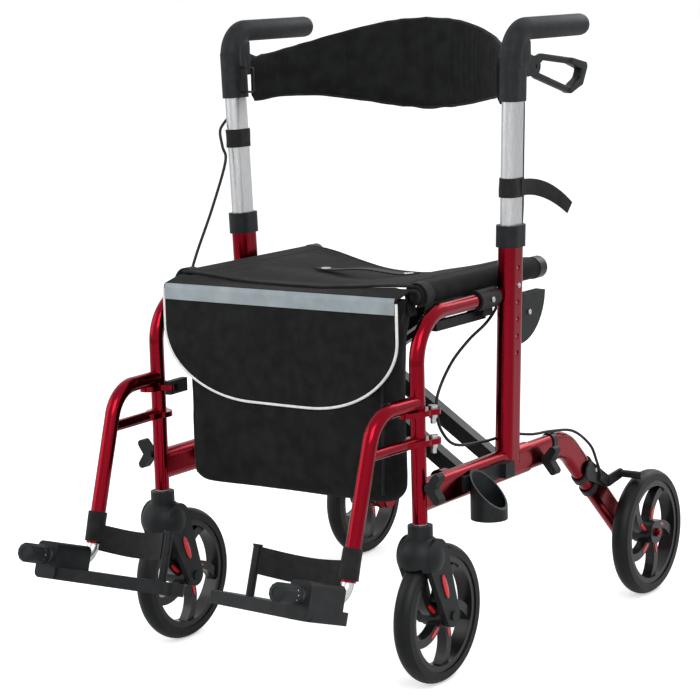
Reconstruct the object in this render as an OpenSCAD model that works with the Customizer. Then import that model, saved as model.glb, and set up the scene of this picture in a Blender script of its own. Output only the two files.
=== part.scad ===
// Rollator transport chair: folding side frames on four wheels, a cloth seat over a cross brace, a bag,
// a back strap, sliding push handles with loop brakes, and swing-away footrests.
// Millimetres, +Z up, the floor is z = 0, the chair faces -Y and +X is the seated person's left.

/* [Stance] */
// Half the distance between the front uprights
track_half = 232; // [228:1:238]
// Fore-and-aft place of the front uprights
upright_y = -187; // [-195:1:-182]
// Fore-and-aft place of the rear posts
post_y = 57; // [52:1:62]
// Height of the bottom rail's middle
rail_z = 281; // [277:1:286]
// Height of the upper rail's middle
upper_rail_z = 537; // [532:1:538]

/* [Side frame] */
// Outside diameter of the front tube
frame_d = 22; // [20:1:24]
// Wall of the frame tubes
frame_wall = 2; // [1.5:0.5:2.5]
// Middle-line radius of the front tube's bend
frame_bend = 70; // [55:5:85]
// Height of the upright's open foot
upright_foot_z = 243; // [240:1:246]
// Width of the flat-oval bottom rail
rail_w = 24; // [22:1:25]
// Height of the flat-oval bottom rail
rail_h = 47; // [44:1:50]
// Rear end of the bottom rail, behind the post's middle
rail_tail = 53; // [48:1:60]
// Thickness of a brace lug
lug_t = 16; // [12:1:18]

/* [Rear tail tube] */
// Length of the tail tube's plug inside the bottom rail
tail_plug = 40; // [30:1:50]
// Fore-and-aft place of the tail tube's bend
tail_corner_y = 228; // [220:1:236]
// Middle-line radius of the tail tube's bend
tail_bend = 80; // [60:5:100]
// Fore-and-aft place of the rear axle
rear_axle_y = 424; // [418:1:432]
// Diameter of the boss that carries the rear axle
axle_boss_d = 34; // [28:1:38]

/* [Post and handle tube] */
// Width of the flat-oval post
post_w = 28; // [26:1:30]
// Depth of the flat-oval post
post_d = 45; // [42:1:48]
// Length of the post above the bottom rail's middle
post_length = 334; // [328:1:340]
// Outward lean of the post in degrees
post_lean = 2; // [1:0.5:3]
// Spacing of the holes in the post
hole_pitch = 25.4; // [24:0.2:26]
// Number of holes in the post
hole_count = 6; // [4:1:6]
// Diameter of the snap button
button_d = 8; // [6:0.5:9]
// How far the snap button stands out of the post
button_proud = 3; // [2:0.5:4]
// Height of the collar on the post's top
collar_h = 32; // [28:1:36]
// Side wall of the collar
collar_wall = 3.5; // [2.5:0.5:5]
// Length of the handle tube
handle_tube_length = 450; // [430:5:460]
// How deep the handle tube stands in the grip's sleeve
sleeve_depth = 60; // [50:1:64]

/* [Grip and lever] */
// Depth of the grip's sleeve
sleeve_d = 48; // [46:1:52]
// Width of the grip's sleeve
sleeve_w = 31; // [29:1:34]
// Diameter of the round hand grip
grip_d = 33; // [30:1:35]
// Middle-line radius of the grip's bend
grip_bend = 40; // [34:1:46]
// Straight length of the hand grip
grip_length = 160; // [140:1:180]
// Thickness of the brake lever
lever_t = 10; // [8:1:12]
// Diameter of the brake lever's pivot pin
lever_pin_d = 6; // [5:0.5:7]

/* [Wheels] */
// Diameter over the tyre
wheel_d = 203; // [198:1:206]
// Width of the tyre
tyre_w = 28; // [24:1:30]
// Radial depth of the tyre
tyre_depth = 17.5; // [14:0.5:20]
// Diameter of the hub
hub_d = 38; // [34:1:42]
// Width of the hub
hub_w = 35; // [32:1:36]
// Diameter of the axles
axle_d = 8; // [7:0.5:10]
// Number of spokes
spoke_count = 5; // [4:1:6]
// Distance of the rear wheel's middle plane outside the side frame
rear_wheel_offset = 44; // [42:1:48]

/* [Caster] */
// Distance of the front axle behind the upright
trail = 41; // [36:1:46]
// Thickness of a fork leg
leg_t = 9; // [7:1:10]
// Gap between the tyre and the fork
tyre_gap = 4; // [3.5:0.5:6]
// Diameter of the caster's stem
stem_d = 12; // [10:1:14]
// Radius of the fork's bulged head
fork_bulge_r = 34; // [32:1:36]

/* [Brace and seat] */
// Distance of the seat bars and lower pivots inside the uprights
bar_inset = 26; // [25:1:30]
// Height of the lower pivots
pivot_z = 285; // [282:1:288]
// Height of the seat bars
bar_z = 558; // [556:1:564]
// Diameter of the seat bars
bar_d = 25; // [22:1:26]
// Diameter of the lower pivot tubes
pivot_d = 18; // [16:1:20]
// Fore-and-aft width of a brace arm
arm_w = 20; // [16:1:20]
// Height of a brace arm's section
arm_h = 22; // [18:1:22]
// Diameter of the pin where the arms cross
cross_pin_d = 10; // [8:1:12]
// Front end of the seat bars
bar_front_y = -135; // [-140:1:-130]
// Rear end of the seat bars
bar_rear_y = 190; // [180:1:200]
// Thickness of the seat cloth
sling_t = 3.2; // [2.5:0.1:3.4]
// Sag of the seat at its front edge
sag_front = 10; // [6:1:16]
// Sag of the seat at its rear edge
sag_rear = 30; // [20:1:36]
// Length of the pull strap across the seat
pull_length = 176; // [150:1:200]

/* [Bag and backrest] */
// Room between the bag's top and each upright's middle
bag_side_room = 42; // [40:1:52]
// How much narrower the bag's floor is, on each side
bag_taper = 13; // [8:1:20]
// Depth of the bag
bag_depth = 84; // [70:1:88]
// Height of the bag's floor
bag_floor_z = 262; // [255:1:270]
// Room between the flap and each upright's middle
flap_side_room = 26; // [25:1:32]
// Height of the flap's lower edge
flap_bottom_z = 394; // [385:1:405]
// Radius of the flap's lower corners
flap_corner = 100; // [70:5:110]
// Thickness of the flap
flap_t = 6; // [4:0.5:7]
// How far the backrest bows behind its ends
back_bow = 165; // [150:1:175]
// Height of the backrest at its middle
back_mid_h = 140; // [125:1:150]
// Height of the backrest at its ends
back_end_h = 56; // [48:1:70]
// Thickness of the backrest's padding at its crown
back_t = 16; // [12:1:20]

/* [Footrest] */
// Height of the hanger's upper run
hanger_z = 415; // [410:1:420]
// Reach of the hanger's upper run in front of the upright
hanger_reach = 103; // [96:1:110]
// Length of the hanger's sloping leg
hanger_leg = 254; // [248:1:258]
// Forward slope of the hanger's leg in degrees
hanger_slope = 17.7; // [16:0.1:19]
// Inward turn of the hanger in degrees
hanger_toe = 2.4; // [1.6:0.1:2.6]
// Thickness of a collar plate
plate_t = 8; // [6:1:10]
// Diameter of the collar bolts
bolt_d = 8; // [6:1:9]
// Diameter of the foot tube
foot_tube_d = 17.6; // [16:0.1:17.8]
// Length of the foot tube in front of its bend
foot_tube_length = 150; // [140:1:155]
// Thickness of the footplate
footplate_t = 18; // [14:1:20]
// Fore-and-aft length of the footplate's hinge block
block_length = 78; // [70:1:82]
// Reach of the footplate from the foot tube to its inner end
footplate_reach = 187; // [175:1:188]

/* [Brake] */
// Diameter of the brake cable
cable_d = 4.6; // [3:0.1:4.8]
// Distance between the brake shoe and the tyre
shoe_gap = 3; // [2.5:0.1:4]
// Diameter of the brake shoe bar
shoe_d = 12; // [10:1:14]
// Thickness of the brake arm
brake_arm_t = 4; // [3:0.5:5]

/* [Cane cup and knobs] */
// Outside diameter of the cane cup
cup_d = 54; // [48:1:54]
// Wall of the cane cup
cup_wall = 3; // [2:0.5:4]
// Height of the cane cup's floor
cup_floor_z = 228; // [222:1:234]
// Fore-and-aft place of the cane cup
cup_y = -66; // [-74:1:-60]
// Diameter of a wing knob's stem
knob_stem_d = 6; // [5:0.5:8]
// Height of a wing knob
knob_h = 44; // [38:1:48]
// Fore-and-aft place of the rear knob
rear_knob_y = 148; // [140:1:152]

/* [Fits] */
// Radial clearance of pins and stems in their bores
fit = 0.05; // [0.03:0.01:0.1]
// Clearance of sliding ovals and turning collars
slide_fit = 0.1; // [0.06:0.01:0.1]
// Clearance between pieces that pass each other
pass_gap = 0.3; // [0.3:0.1:0.6]

/* [Hidden] */
$fn = 64;
oval_half_sides = 12;
sink = 0.01;
red = "#7d2a33";
black = "#1b1b1d";
silver = "#c9cbcd";
grey = "#56585b";

// Side frame
frame_bore = frame_d - 2 * frame_wall;
plug_top_z = rail_z + 9;
rail_end_y = post_y + rail_tail;
post_floor = 36;
top_hole = post_length - 38;
rest_hole = 1;
lug_r = pivot_d / 2 + 5;
front_lug_y = -80;
rear_lug_y = post_y + post_d / 2 + 5 + lug_t;
knob_z = rail_z + 14;
knob_base = 0.4;
knob_w = 16;

// Tail tube and rear wheel
tail_w = rail_w - 2 * frame_wall - 2 * slide_fit;
tail_h = rail_h - 2 * frame_wall - 2 * slide_fit;
wheel_r = wheel_d / 2;
tail_slope = atan2(rail_z - wheel_r, rear_axle_y - tail_corner_y);
tail_length = norm([rear_axle_y - tail_corner_y, rail_z - wheel_r]);
hub_inner = rear_wheel_offset - hub_w / 2;
hub_outer = rear_wheel_offset + hub_w / 2;
nut_t = 5;
nut_d = 14;
rear_knob_z = rail_z - 10;

// Collar, handle tube and button
tube_w = post_w - 2 * frame_wall - 4 * slide_fit;
tube_d = post_d - 2 * frame_wall - 4 * slide_fit;
collar_z = post_length - 7;
button_z = top_hole - rest_hole * hole_pitch;
tube_foot = post_length - 185;
tube_top = tube_foot + handle_tube_length;
flange_t = 2;

// Grip and lever, in the post's own frame
sleeve_z = tube_top - sleeve_depth;
sleeve_top = tube_top + 10;
grip_axis_y = (grip_d - sleeve_d) / 2 + 1.5;
grip_z = sleeve_top - 7 + grip_bend;
grip_end_y = grip_axis_y + grip_bend + grip_length;
lever_y = sleeve_d / 2 + 24;
lever_z = tube_top - 12;
housing_w = lever_t + 12;
lever_slot_y = lever_y - 12;
lever_bar_r = 5;
lever_tip_r = 7;

// Saddle and post wing
saddle_y = -2;
saddle_length = 52;
saddle_wall = 4;
strip_w = 10;
strip_h = 14;
strip_reach = 110;
strip_x = track_half - frame_d / 2 - strip_w - 2;
strip_front_y = saddle_y - strip_reach;
wing_r = 73;
wing_t = 16;
wing_top = post_length - 82;

// Straps on the handle tubes
strap_h = 28;
strap_t = 2.6;
strap_left_z = post_length + 80;
strap_right_z = post_length + 142;
tail_curl_r = 150;
tail_curl_angle = 36;
tail_dip = 20;

// Caster
fork_half_gap = tyre_w / 2 + tyre_gap;
stem_top_z = upright_foot_z + 44;
cap_ring_z = upright_foot_z - 17;
cap_ring_h = 14;
cap_ring_d = 36;
fork_head_z = upright_foot_z - 49;
axle_leg_r = 17;
head_leg_r = 26;
reflector_t = 1.2;

// Brace
bar_x = track_half - bar_inset;
arm_angle = atan2(bar_z - pivot_z, 2 * bar_x);
arm_length = norm([bar_z - pivot_z, 2 * bar_x]);
cross_z = (bar_z + pivot_z) / 2;
arm_gap = 0.7;
front_arm_y = -40;
rear_arm_y = 62;
pin_head_d = 18;
pin_head_t = 3;
sleeve_r = bar_d / 2 + pass_gap + sling_t;
cap_d = 34;
cap_l = 12;
cap_grip = 8;

// Seat cloth
seat_front_y = bar_front_y - 15;
seat_rear_y = bar_rear_y - cap_grip - 1;
wrap_end = 98;
wrap_low = 70;
wrap_step = 28;
wrap_inner_r = (sleeve_r - sling_t) / cos(wrap_step / 2);
cloth_steps = 12;
cloth_rows = 14;
ripple = 1.6;
ripple_length = 150;
pull_y = 40;
pull_w = 25;
pull_t = 3;
pull_lift = 10;

// Bag and flap
bag_top_half = track_half - bag_side_room;
bag_bottom_half = bag_top_half - bag_taper;
flap_half = track_half - flap_side_room;
bag_front_y = upright_y - 4;
bag_top_z = bar_z - sleeve_r - 2;
flap_top_z = bar_z + 4;
ledge_rear_y = seat_front_y - pass_gap;

// Backrest, in the left post's frame it meets the sleeve's inner face
back_end_lift = 28;
back_crown_lift = 46;
back_hump = 0.8;
back_end_x = track_half + (sleeve_z + back_end_lift) * sin(post_lean) - sleeve_w / 2 - pass_gap - back_t / 2;
back_end_y = post_y + 4;
back_r = (pow(back_end_x, 2) + pow(back_bow, 2)) / (2 * back_bow);
back_centre_y = back_end_y + back_bow - back_r;
back_spread = asin(back_end_x / back_r);
back_mid_z = rail_z + sleeve_z + back_crown_lift;
back_end_z = rail_z + sleeve_z + back_end_lift;
back_rows = 28;

// Footrest
hanger_bore = frame_d - 2 * frame_wall - 0.2;
foot_y = -hanger_reach - hanger_leg * sin(hanger_slope);
foot_z = hanger_z - hanger_leg * cos(hanger_slope);
hanger_bend = 55;
foot_bend = 25;
upper_plate_z = hanger_z - frame_d / 2 - plate_t + 2;
lower_plate_z = upper_plate_z - 42;
strut_d = 16;
bolt_spot = [13, 19];
bolt_length = 26;
plate_r = frame_d / 2 + 9;
latch_size = [11, 46, 20];
latch_spot = [-plate_r - 6, -4];
latch_ear_r = 5;
latch_pin_d = 4;
block_rear = foot_bend + 1;
block_front = block_rear + block_length;
block_half = 18;
block_top = 20;
footplate_low = -33;
foot_ring = 8;
foot_cap_d = 26;
foot_cap_start = block_front + pass_gap + foot_ring;
strap_post = [-footplate_reach + 41, -21];
strap_post_d = 12;
strap_post_top = 57;
post_cap_h = 3;
post_cap_lip = 1;
heel_low = foot_bend + 3;
heel_sleeve_h = 44;
heel_sleeve_t = 3;
heel_band_low = foot_bend - 9;
heel_band_h = 38;
heel_bow = 16;
heel_t = 2.5;

// Brake parts, in the tail tube's own frame
clamp_starts = [78, 112];
clamp_l = 12;
clamp_t = 3;
brake_pivot = [139, 16];
brake_pin_d = 6;
shoe_radius = wheel_r + shoe_gap + shoe_d / 2;
shoe_rise = 25;
shoe_spot = [tail_length - shoe_radius * cos(shoe_rise), shoe_radius * sin(shoe_rise)];
cable_spot = [115, 8];
arm_x = tail_w / 2 + 2 * clamp_t + pass_gap;
clip_y = 180;

// Cane cup
cup_rim_high = 70;
cup_rim_low = 16;
cup_x = track_half + rail_w / 2 + 2 + cup_d / 2;
cup_bracket_t = 5;
cup_bracket_l = 128;
cup_bracket_h = 22;

// Routes of the brake cables, chosen points
cable_tail_route = [
    [216, -100, 358], [215, -60, 330], [215, 20, 320], [218, 90, 318], [229, 140, 310], [235, 186, 307],
    [243, 240, 298], [248.5, 285, 268], [250.6, 303, 238], [250.6, 314.5, 216.1]];
cable_left_route = concat([
    [252, 86, 853], [251, 87, 800], [248, 87.5, 720], [245, 90, 660], [239, 91, 605], [230, 91, 568],
    [221, 84, 540], [217, 66, 522], [221, 40, 508], [224, 10, 496], [222, -30, 480], [220, -75, 454],
    [218, -108, 418], [217, -114, 390]], cable_tail_route);
cable_right_route = concat([
    [252, 86, 853], [254, 88, 825], [262, 84, 805], [267, 62, 790], [267, 45, 780], [262, 28, 768],
    [252, 20, 745], [246, 18, 722], [238, -30, 655], [232, -80, 592], [227, -104, 560],
    [220.7, -113, 545.5], [216.5, -120, 528], [216, -124, 480], [217, -120, 430], [217, -114, 390]],
    cable_tail_route);
cable_substeps = 3;
cable_sides = 8;

// Outlines

// A flat oval, short across the first axis and long along the second
module oval(short, long) {
    square([short, long - short], center = true);
    for (end = [-1, 1]) translate([0, end * (long - short) / 2]) circle(d = short);
}

// The same flat oval with its round ends as short sides, for bent runs
module oval_loop(short, long) {
    polygon([for (end = [1, -1], k = [0 : oval_half_sides])
        let (a = 180 * k / oval_half_sides + (end < 0 ? 180 : 0))
        [short / 2 * cos(a), end * (long - short) / 2 + short / 2 * sin(a)]]);
}

// Two discs and the straight sides that touch both
module round_link(a, ra, b, rb) {
    along = atan2(b[1] - a[1], b[0] - a[0]);
    spread = acos((ra - rb) / norm(b - a));
    left = [cos(along + spread), sin(along + spread)];
    right = [cos(along - spread), sin(along - spread)];
    translate(a) circle(ra);
    translate(b) circle(rb);
    polygon([a + (ra - sink) * left, b + (rb - sink) * left, b + (rb - sink) * right, a + (ra - sink) * right]);
}

// A convex outline with round corners, its corner middles listed anticlockwise
module rounded_outline(centres, r) {
    count = len(centres);
    steps = [for (i = [0 : count - 1]) centres[(i + 1) % count] - centres[i]];
    outward = [for (s = steps) [s[1], -s[0]] / norm(s)];
    for (c = centres) translate(c) circle(r);
    polygon([for (i = [0 : count - 1]) each [centres[i], centres[(i + 1) % count]]
             + (r - sink) * [outward[i], outward[i]]]);
}

// Placing

// Mirrors the left side's piece to the right side
module right_side() { mirror([1, 0, 0]) children(); }

// Stands a flat outline, drawn in Y and Z, upright across X
module side_plate(t) { rotate([90, 0, 90]) linear_extrude(t, center = true) children(); }

// Runs a flat outline, drawn in X and Z, along +Y
module along_y(length) { rotate([90, 0, 0]) translate([0, 0, -length]) linear_extrude(length) children(); }

// A round bar along +X from one place to another
module bar_x_run(d, from, to) { translate([from, 0, 0]) rotate([0, 90, 0]) cylinder(d = d, h = to - from); }

// A round bar along +Y from one place to another
module bar_y_run(d, from, to) { translate([0, from, 0]) rotate([-90, 0, 0]) cylinder(d = d, h = to - from); }

// The leaning post's frame, from the bottom rail's middle
module on_post() { translate([track_half, post_y, rail_z]) rotate([0, post_lean, 0]) children(); }

// The hanger's frame, on the upright's axis
module on_hanger() { translate([track_half, upright_y, 0]) rotate([0, 0, -hanger_toe]) children(); }

// The foot tube's frame: -Y runs forward along the tube and +Z up the hanger's leg
module on_foot() { on_hanger() translate([0, foot_y, foot_z]) rotate([-hanger_slope, 0, 0]) children(); }

// The tail tube's frame: +Y runs down the slope to the axle and +Z stands on it
module on_tail() { translate([track_half, tail_corner_y, rail_z]) rotate([-tail_slope, 0, 0]) children(); }

// The front and rear wheels' middles
module on_front_axle() { translate([track_half, upright_y + trail, wheel_r]) children(); }
module on_rear_axle() { translate([track_half + rear_wheel_offset, rear_axle_y, wheel_r]) children(); }

// Bent runs and lofts

function heading(points, i) = atan2(points[i + 1][1] - points[i][1], points[i + 1][0] - points[i][0]);
function turned(a) = (a + 540) % 360 - 180;
function turn(points, i) = turned(heading(points, i) - heading(points, i - 1));
function corner_cut(points, i, bend) =
    (i == 0 || i == len(points) - 1) ? 0 : bend * tan(abs(turn(points, i)) / 2);

// The straight lengths of a run whose middle line joins points in Y and Z, each reaching a lap into its bends
module straights(points, bend, lap) {
    last = len(points) - 1;
    for (i = [0 : last - 1]) {
        from = corner_cut(points, i, bend) - (i > 0 ? lap : 0);
        to = corner_cut(points, i + 1, bend) - (i < last - 1 ? lap : 0);
        way = [cos(heading(points, i)), sin(heading(points, i))];
        start = points[i] + from * way;
        translate([0, start[0], start[1]])
            rotate([heading(points, i) - 90, 0, 0])
                linear_extrude(norm(points[i + 1] - points[i]) - from - to) children();
    }
}

// The round bends of such a run
module bends(points, bend) {
    last = len(points) - 1;
    for (i = [1 : 1 : last - 1]) {
        h = heading(points, i - 1);
        side = sign(turn(points, i));
        middle = points[i] - corner_cut(points, i, bend) * [cos(h), sin(h)] + side * bend * [-sin(h), cos(h)];
        multmatrix([[0, 0, side, 0],
                    [side * sin(h), cos(h), 0, middle[0]],
                    [-side * cos(h), sin(h), 0, middle[1]],
                    [0, 0, 0, 1]])
            rotate_extrude(angle = abs(turn(points, i))) translate([bend, 0]) rotate(90) children();
    }
}

// The whole run; the child is its section
module bent_run(points, bend) {
    straights(points, bend, 0) children();
    bends(points, bend) children();
}

// A closed skin over rows of loops with the same even number of points, capped at both ends
module loft(rows) {
    count = len(rows[0]);
    last = len(rows) - 1;
    sides = [for (i = [0 : last - 1], k = [0 : count - 1])
        let (a = i * count + k, b = i * count + (k + 1) % count)
        each [[a, a + count, b + count], [a, b + count, b]]];
    cap = [for (k = [0 : count / 2 - 2]) each [[k, k + 1, count - 2 - k], [k, count - 2 - k, count - 1 - k]]];
    front = [for (f = cap) if (f[1] != f[2]) f];
    back = [for (f = front) [f[2] + last * count, f[1] + last * count, f[0] + last * count]];
    polyhedron([for (row = rows) each row], concat(sides, front, back), convexity = 8);
}

// A smooth line through chosen points
function eased(a, b, c, d, t) =
    0.5 * (2 * b + (c - a) * t + (2 * a - 5 * b + 4 * c - d) * t * t + (3 * b - a - 3 * c + d) * t * t * t);
function smooth_line(points, steps) = let (last = len(points) - 1) concat(
    [for (i = [0 : last - 1], s = [0 : steps - 1])
        eased(points[max(i - 1, 0)], points[i], points[i + 1], points[min(i + 2, last)], s / steps)],
    [points[last]]);
function unit(v) = v / norm(v);

// Loops of a round cord along a line of points
function cord_rows(line, d, sides) = [for (i = [0 : len(line) - 1])
    let (way = unit(line[min(i + 1, len(line) - 1)] - line[max(i - 1, 0)]),
         across = unit(cross(way, [1, 0, 0])),
         up = cross(way, across))
    [for (k = [0 : sides - 1]) line[i] + d / 2 * (cos(360 * k / sides) * across + sin(360 * k / sides) * up)]];

// Side frame

module side_frame() {
    front_path = [[upright_y, upright_foot_z], [upright_y, upper_rail_z], [post_y - 8, upper_rail_z]];
    front_bore = [[upright_y, plug_top_z], [upright_y, upper_rail_z],
                  [post_y - post_d / 2 - frame_wall, upper_rail_z]];
    difference() {
        union() {
            translate([track_half, 0, 0]) bent_run(front_path, frame_bend) circle(d = frame_d);
            translate([track_half, upright_y, rail_z]) along_y(rail_end_y - upright_y) oval(rail_w, rail_h);
            on_post() linear_extrude(post_length) oval(post_w, post_d);
            for (y = [front_lug_y, rear_lug_y]) translate([0, y - lug_t, 0]) along_y(lug_t)
                round_link([bar_x, pivot_z], lug_r, [track_half - 8, pivot_z - 2], lug_r);
        }
        translate([track_half, 0, 0]) bent_run(front_bore, frame_bend) circle(d = frame_bore);
        translate([track_half, upright_y, upright_foot_z - 1])
            cylinder(d = stem_d + 2 * fit, h = plug_top_z - upright_foot_z + 2);
        translate([track_half, upright_y + frame_d, rail_z])
            along_y(rail_end_y - upright_y) oval(rail_w - 2 * frame_wall, rail_h - 2 * frame_wall);
        on_post() translate([0, 0, post_floor])
            linear_extrude(post_length) oval(post_w - 2 * frame_wall, post_d - 2 * frame_wall);
        on_post() for (k = [0 : hole_count - 1]) translate([0, 0, top_hole - k * hole_pitch])
            bar_x_run(button_d + 0.4, 0, post_w);
        for (y = [front_lug_y, rear_lug_y]) translate([bar_x, 0, pivot_z])
            bar_y_run(pivot_d + 2 * fit, y - lug_t - 1, y + 1);
        translate([track_half, upright_y, knob_z]) bar_x_run(knob_stem_d + 2 * fit, 0, frame_d);
    }
}
module side_frame_left() { color(red) side_frame(); }
module side_frame_right() { color(red) right_side() side_frame(); }

module tail_tube() {
    start_y = rail_end_y - tail_plug;
    axle_spot = [rear_axle_y, wheel_r];
    bore_end_y = tail_corner_y - tail_bend * tan(tail_slope / 2) - 1;
    difference() {
        union() {
            translate([track_half, 0, 0])
                bent_run([[start_y, rail_z], [tail_corner_y, rail_z], axle_spot], tail_bend)
                    oval_loop(tail_w, tail_h);
            translate([track_half, rear_axle_y, wheel_r]) {
                bar_x_run(axle_boss_d, -tail_w / 2 - 2, hub_inner - pass_gap);
                bar_x_run(axle_d, 0, hub_outer + nut_t + 2);
                bar_x_run(nut_d, hub_outer + pass_gap, hub_outer + nut_t);
            }
        }
        translate([track_half, start_y - 1, rail_z])
            along_y(bore_end_y - start_y) oval(tail_w - 2 * frame_wall, tail_h - 2 * frame_wall);
        translate([track_half, rear_knob_y, rear_knob_z]) bar_x_run(knob_stem_d + 2 * fit, 0, rail_w);
    }
}
module tail_tube_left() { color(red) tail_tube(); }
module tail_tube_right() { color(red) right_side() tail_tube(); }

module post_collar() {
    on_post() translate([0, 0, collar_z]) difference() {
        linear_extrude(collar_h) oval(post_w + 2 * collar_wall, post_d + 2 * collar_wall);
        translate([0, 0, -1]) linear_extrude(post_length - collar_z + 1) oval(post_w, post_d);
        linear_extrude(collar_h + 1) oval(tube_w + 2 * slide_fit, tube_d + 2 * slide_fit);
    }
}
module post_collar_left() { color(black) post_collar(); }
module post_collar_right() { color(black) right_side() post_collar(); }

module rail_saddle() {
    lip_top = bar_z - sleeve_r - 0.5;
    strip_top = upper_rail_z - frame_d / 2 - 8;
    difference() {
        union() {
            translate([track_half, saddle_y, upper_rail_z])
                bar_y_run(frame_d + 2 * saddle_wall, -saddle_length / 2, saddle_length / 2);
            translate([bar_x - 2, saddle_y - 2, strip_top - strip_h / 2])
                cube([track_half - bar_x + 2, 26, lip_top - strip_top + strip_h / 2]);
            translate([strip_x, strip_front_y, strip_top - strip_h])
                cube([strip_w, saddle_y + saddle_length / 2 - strip_front_y, strip_h]);
        }
        translate([track_half, saddle_y, upper_rail_z]) bar_y_run(frame_d, -saddle_length, saddle_length);
    }
}
module rail_saddle_left() { color(black) rail_saddle(); }
module rail_saddle_right() { color(black) right_side() rail_saddle(); }

module post_wing() {
    on_post() difference() {
        side_plate(wing_t) intersection() {
            translate([post_d / 2 - 4, wing_top]) circle(wing_r);
            translate([post_d / 2 - 4, wing_top - wing_r]) square(wing_r);
        }
        linear_extrude(post_length) oval(post_w, post_d);
    }
}
module post_wing_left() { color(black) post_wing(); }
module post_wing_right() { color(black) right_side() post_wing(); }

// Handle

module handle_tube() {
    on_post() difference() {
        translate([0, 0, tube_foot]) linear_extrude(handle_tube_length) oval(tube_w, tube_d);
        translate([0, 0, tube_foot - 1]) linear_extrude(handle_tube_length + 2)
            oval(tube_w - 2 * frame_wall, tube_d - 2 * frame_wall);
        translate([0, 0, button_z]) bar_x_run(button_d + 2 * fit, 0, post_w);
    }
}
module handle_tube_left() { color(silver) handle_tube(); }
module handle_tube_right() { color(silver) right_side() handle_tube(); }

module snap_button() {
    inner_face = tube_w / 2 - frame_wall - slide_fit;
    outer_end = post_w / 2 + button_proud;
    on_post() translate([0, 0, button_z]) {
        bar_x_run(button_d + 4, inner_face - flange_t, inner_face);
        bar_x_run(button_d, inner_face - flange_t, outer_end - 1);
        bar_x_run(button_d - 2, inner_face, outer_end);
    }
}
module snap_button_left() { color(silver) snap_button(); }
module snap_button_right() { color(silver) right_side() snap_button(); }

module grip() {
    grip_r = grip_d / 2;
    grip_dome = [[0, 0], [grip_r, 0], [grip_r - 1, 6], [grip_r - 4.5, 11.5], [grip_r - 9.5, 15],
                 [grip_r / 5, grip_r], [0, grip_r]];
    round_path = [[grip_axis_y, sleeve_top - 20], [grip_axis_y, grip_z], [grip_end_y, grip_z]];
    on_post() difference() {
        union() {
            translate([0, 0, sleeve_z]) linear_extrude(sleeve_top - sleeve_z) oval(sleeve_w, sleeve_d);
            bent_run(round_path, grip_bend) circle(d = grip_d);
            translate([0, grip_end_y, grip_z]) rotate([-90, 0, 0]) rotate_extrude() polygon(grip_dome);
            side_plate(housing_w)
                round_link([sleeve_d / 2 - 8, lever_z + 4], 18, [lever_y, lever_z], 13);
        }
        translate([0, 0, sleeve_z - 1]) linear_extrude(sleeve_depth + 1)
            oval(tube_w + 2 * slide_fit, tube_d + 2 * slide_fit);
        translate([-lever_t / 2 - pass_gap, lever_slot_y, lever_z - 30])
            cube([lever_t + 2 * pass_gap, 40, 60]);
        translate([0, lever_y, lever_z])
            bar_x_run(lever_pin_d + 2 * fit, -housing_w, housing_w);
    }
}
module grip_left() { color(black) grip(); }
module grip_right() { color(black) right_side() grip(); }

module brake_lever() {
    root = [lever_y, lever_z];
    top_start = root + [32, 12];
    top_end = root + [118, 2];
    tip = root + [158, -8];
    low_start = root + [19, -15];
    low_end = root + [116, -42];
    paddle = root + [146, -30];
    on_post() {
        side_plate(lever_t) {
            round_link(root, 10, top_start, lever_bar_r);
            round_link(top_start, lever_bar_r, top_end, lever_bar_r);
            round_link(root, 10, low_start, lever_bar_r);
            round_link(low_start, lever_bar_r, low_end, lever_bar_r);
        }
        side_plate(lever_t + 6) {
            round_link(top_end, lever_bar_r, tip, lever_tip_r);
            round_link(tip, lever_tip_r, paddle, lever_tip_r);
            round_link(paddle, lever_tip_r, low_end, lever_bar_r);
        }
        translate([0, root[0], root[1]]) bar_x_run(lever_pin_d, -housing_w / 2, housing_w / 2);
    }
}
module brake_lever_left() { color(black) brake_lever(); }
module brake_lever_right() { color(black) right_side() brake_lever(); }

module tube_strap(z) {
    on_post() translate([0, 0, z - strap_h / 2]) difference() {
        linear_extrude(strap_h)
            oval(tube_w + 2 * slide_fit + 2 * strap_t, tube_d + 2 * slide_fit + 2 * strap_t);
        translate([0, 0, -1]) linear_extrude(strap_h + 2) oval(tube_w + 2 * slide_fit, tube_d + 2 * slide_fit);
    }
}

// The loose end of the left strap, curling away behind the tube
module strap_tail(z) {
    on_post() translate([tube_w / 2, 12, z - strap_h / 2 + 1]) rotate([-tail_dip, 0, 0]) translate([tail_curl_r, 0, 0])
        mirror([1, 0, 0]) rotate_extrude(angle = tail_curl_angle) translate([tail_curl_r - strap_t - 2 * slide_fit, 0])
            square([strap_t, strap_h - 4]);
}
module tube_strap_left() {
    color(black) tube_strap(strap_left_z);
    color(black) difference() {
        strap_tail(strap_left_z);
        on_post() linear_extrude(strap_left_z * 2)
            oval(tube_w + 2 * slide_fit + strap_t, tube_d + 2 * slide_fit + strap_t);
    }
}
module tube_strap_right() { color(black) right_side() tube_strap(strap_right_z); }

module brake_cable_left() {
    color(black) loft(cord_rows(smooth_line(cable_left_route, cable_substeps), cable_d, cable_sides));
}
module brake_cable_right() {
    color(black) right_side()
        loft(cord_rows(smooth_line(cable_right_route, cable_substeps), cable_d, cable_sides));
}

// Rear brake

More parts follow.
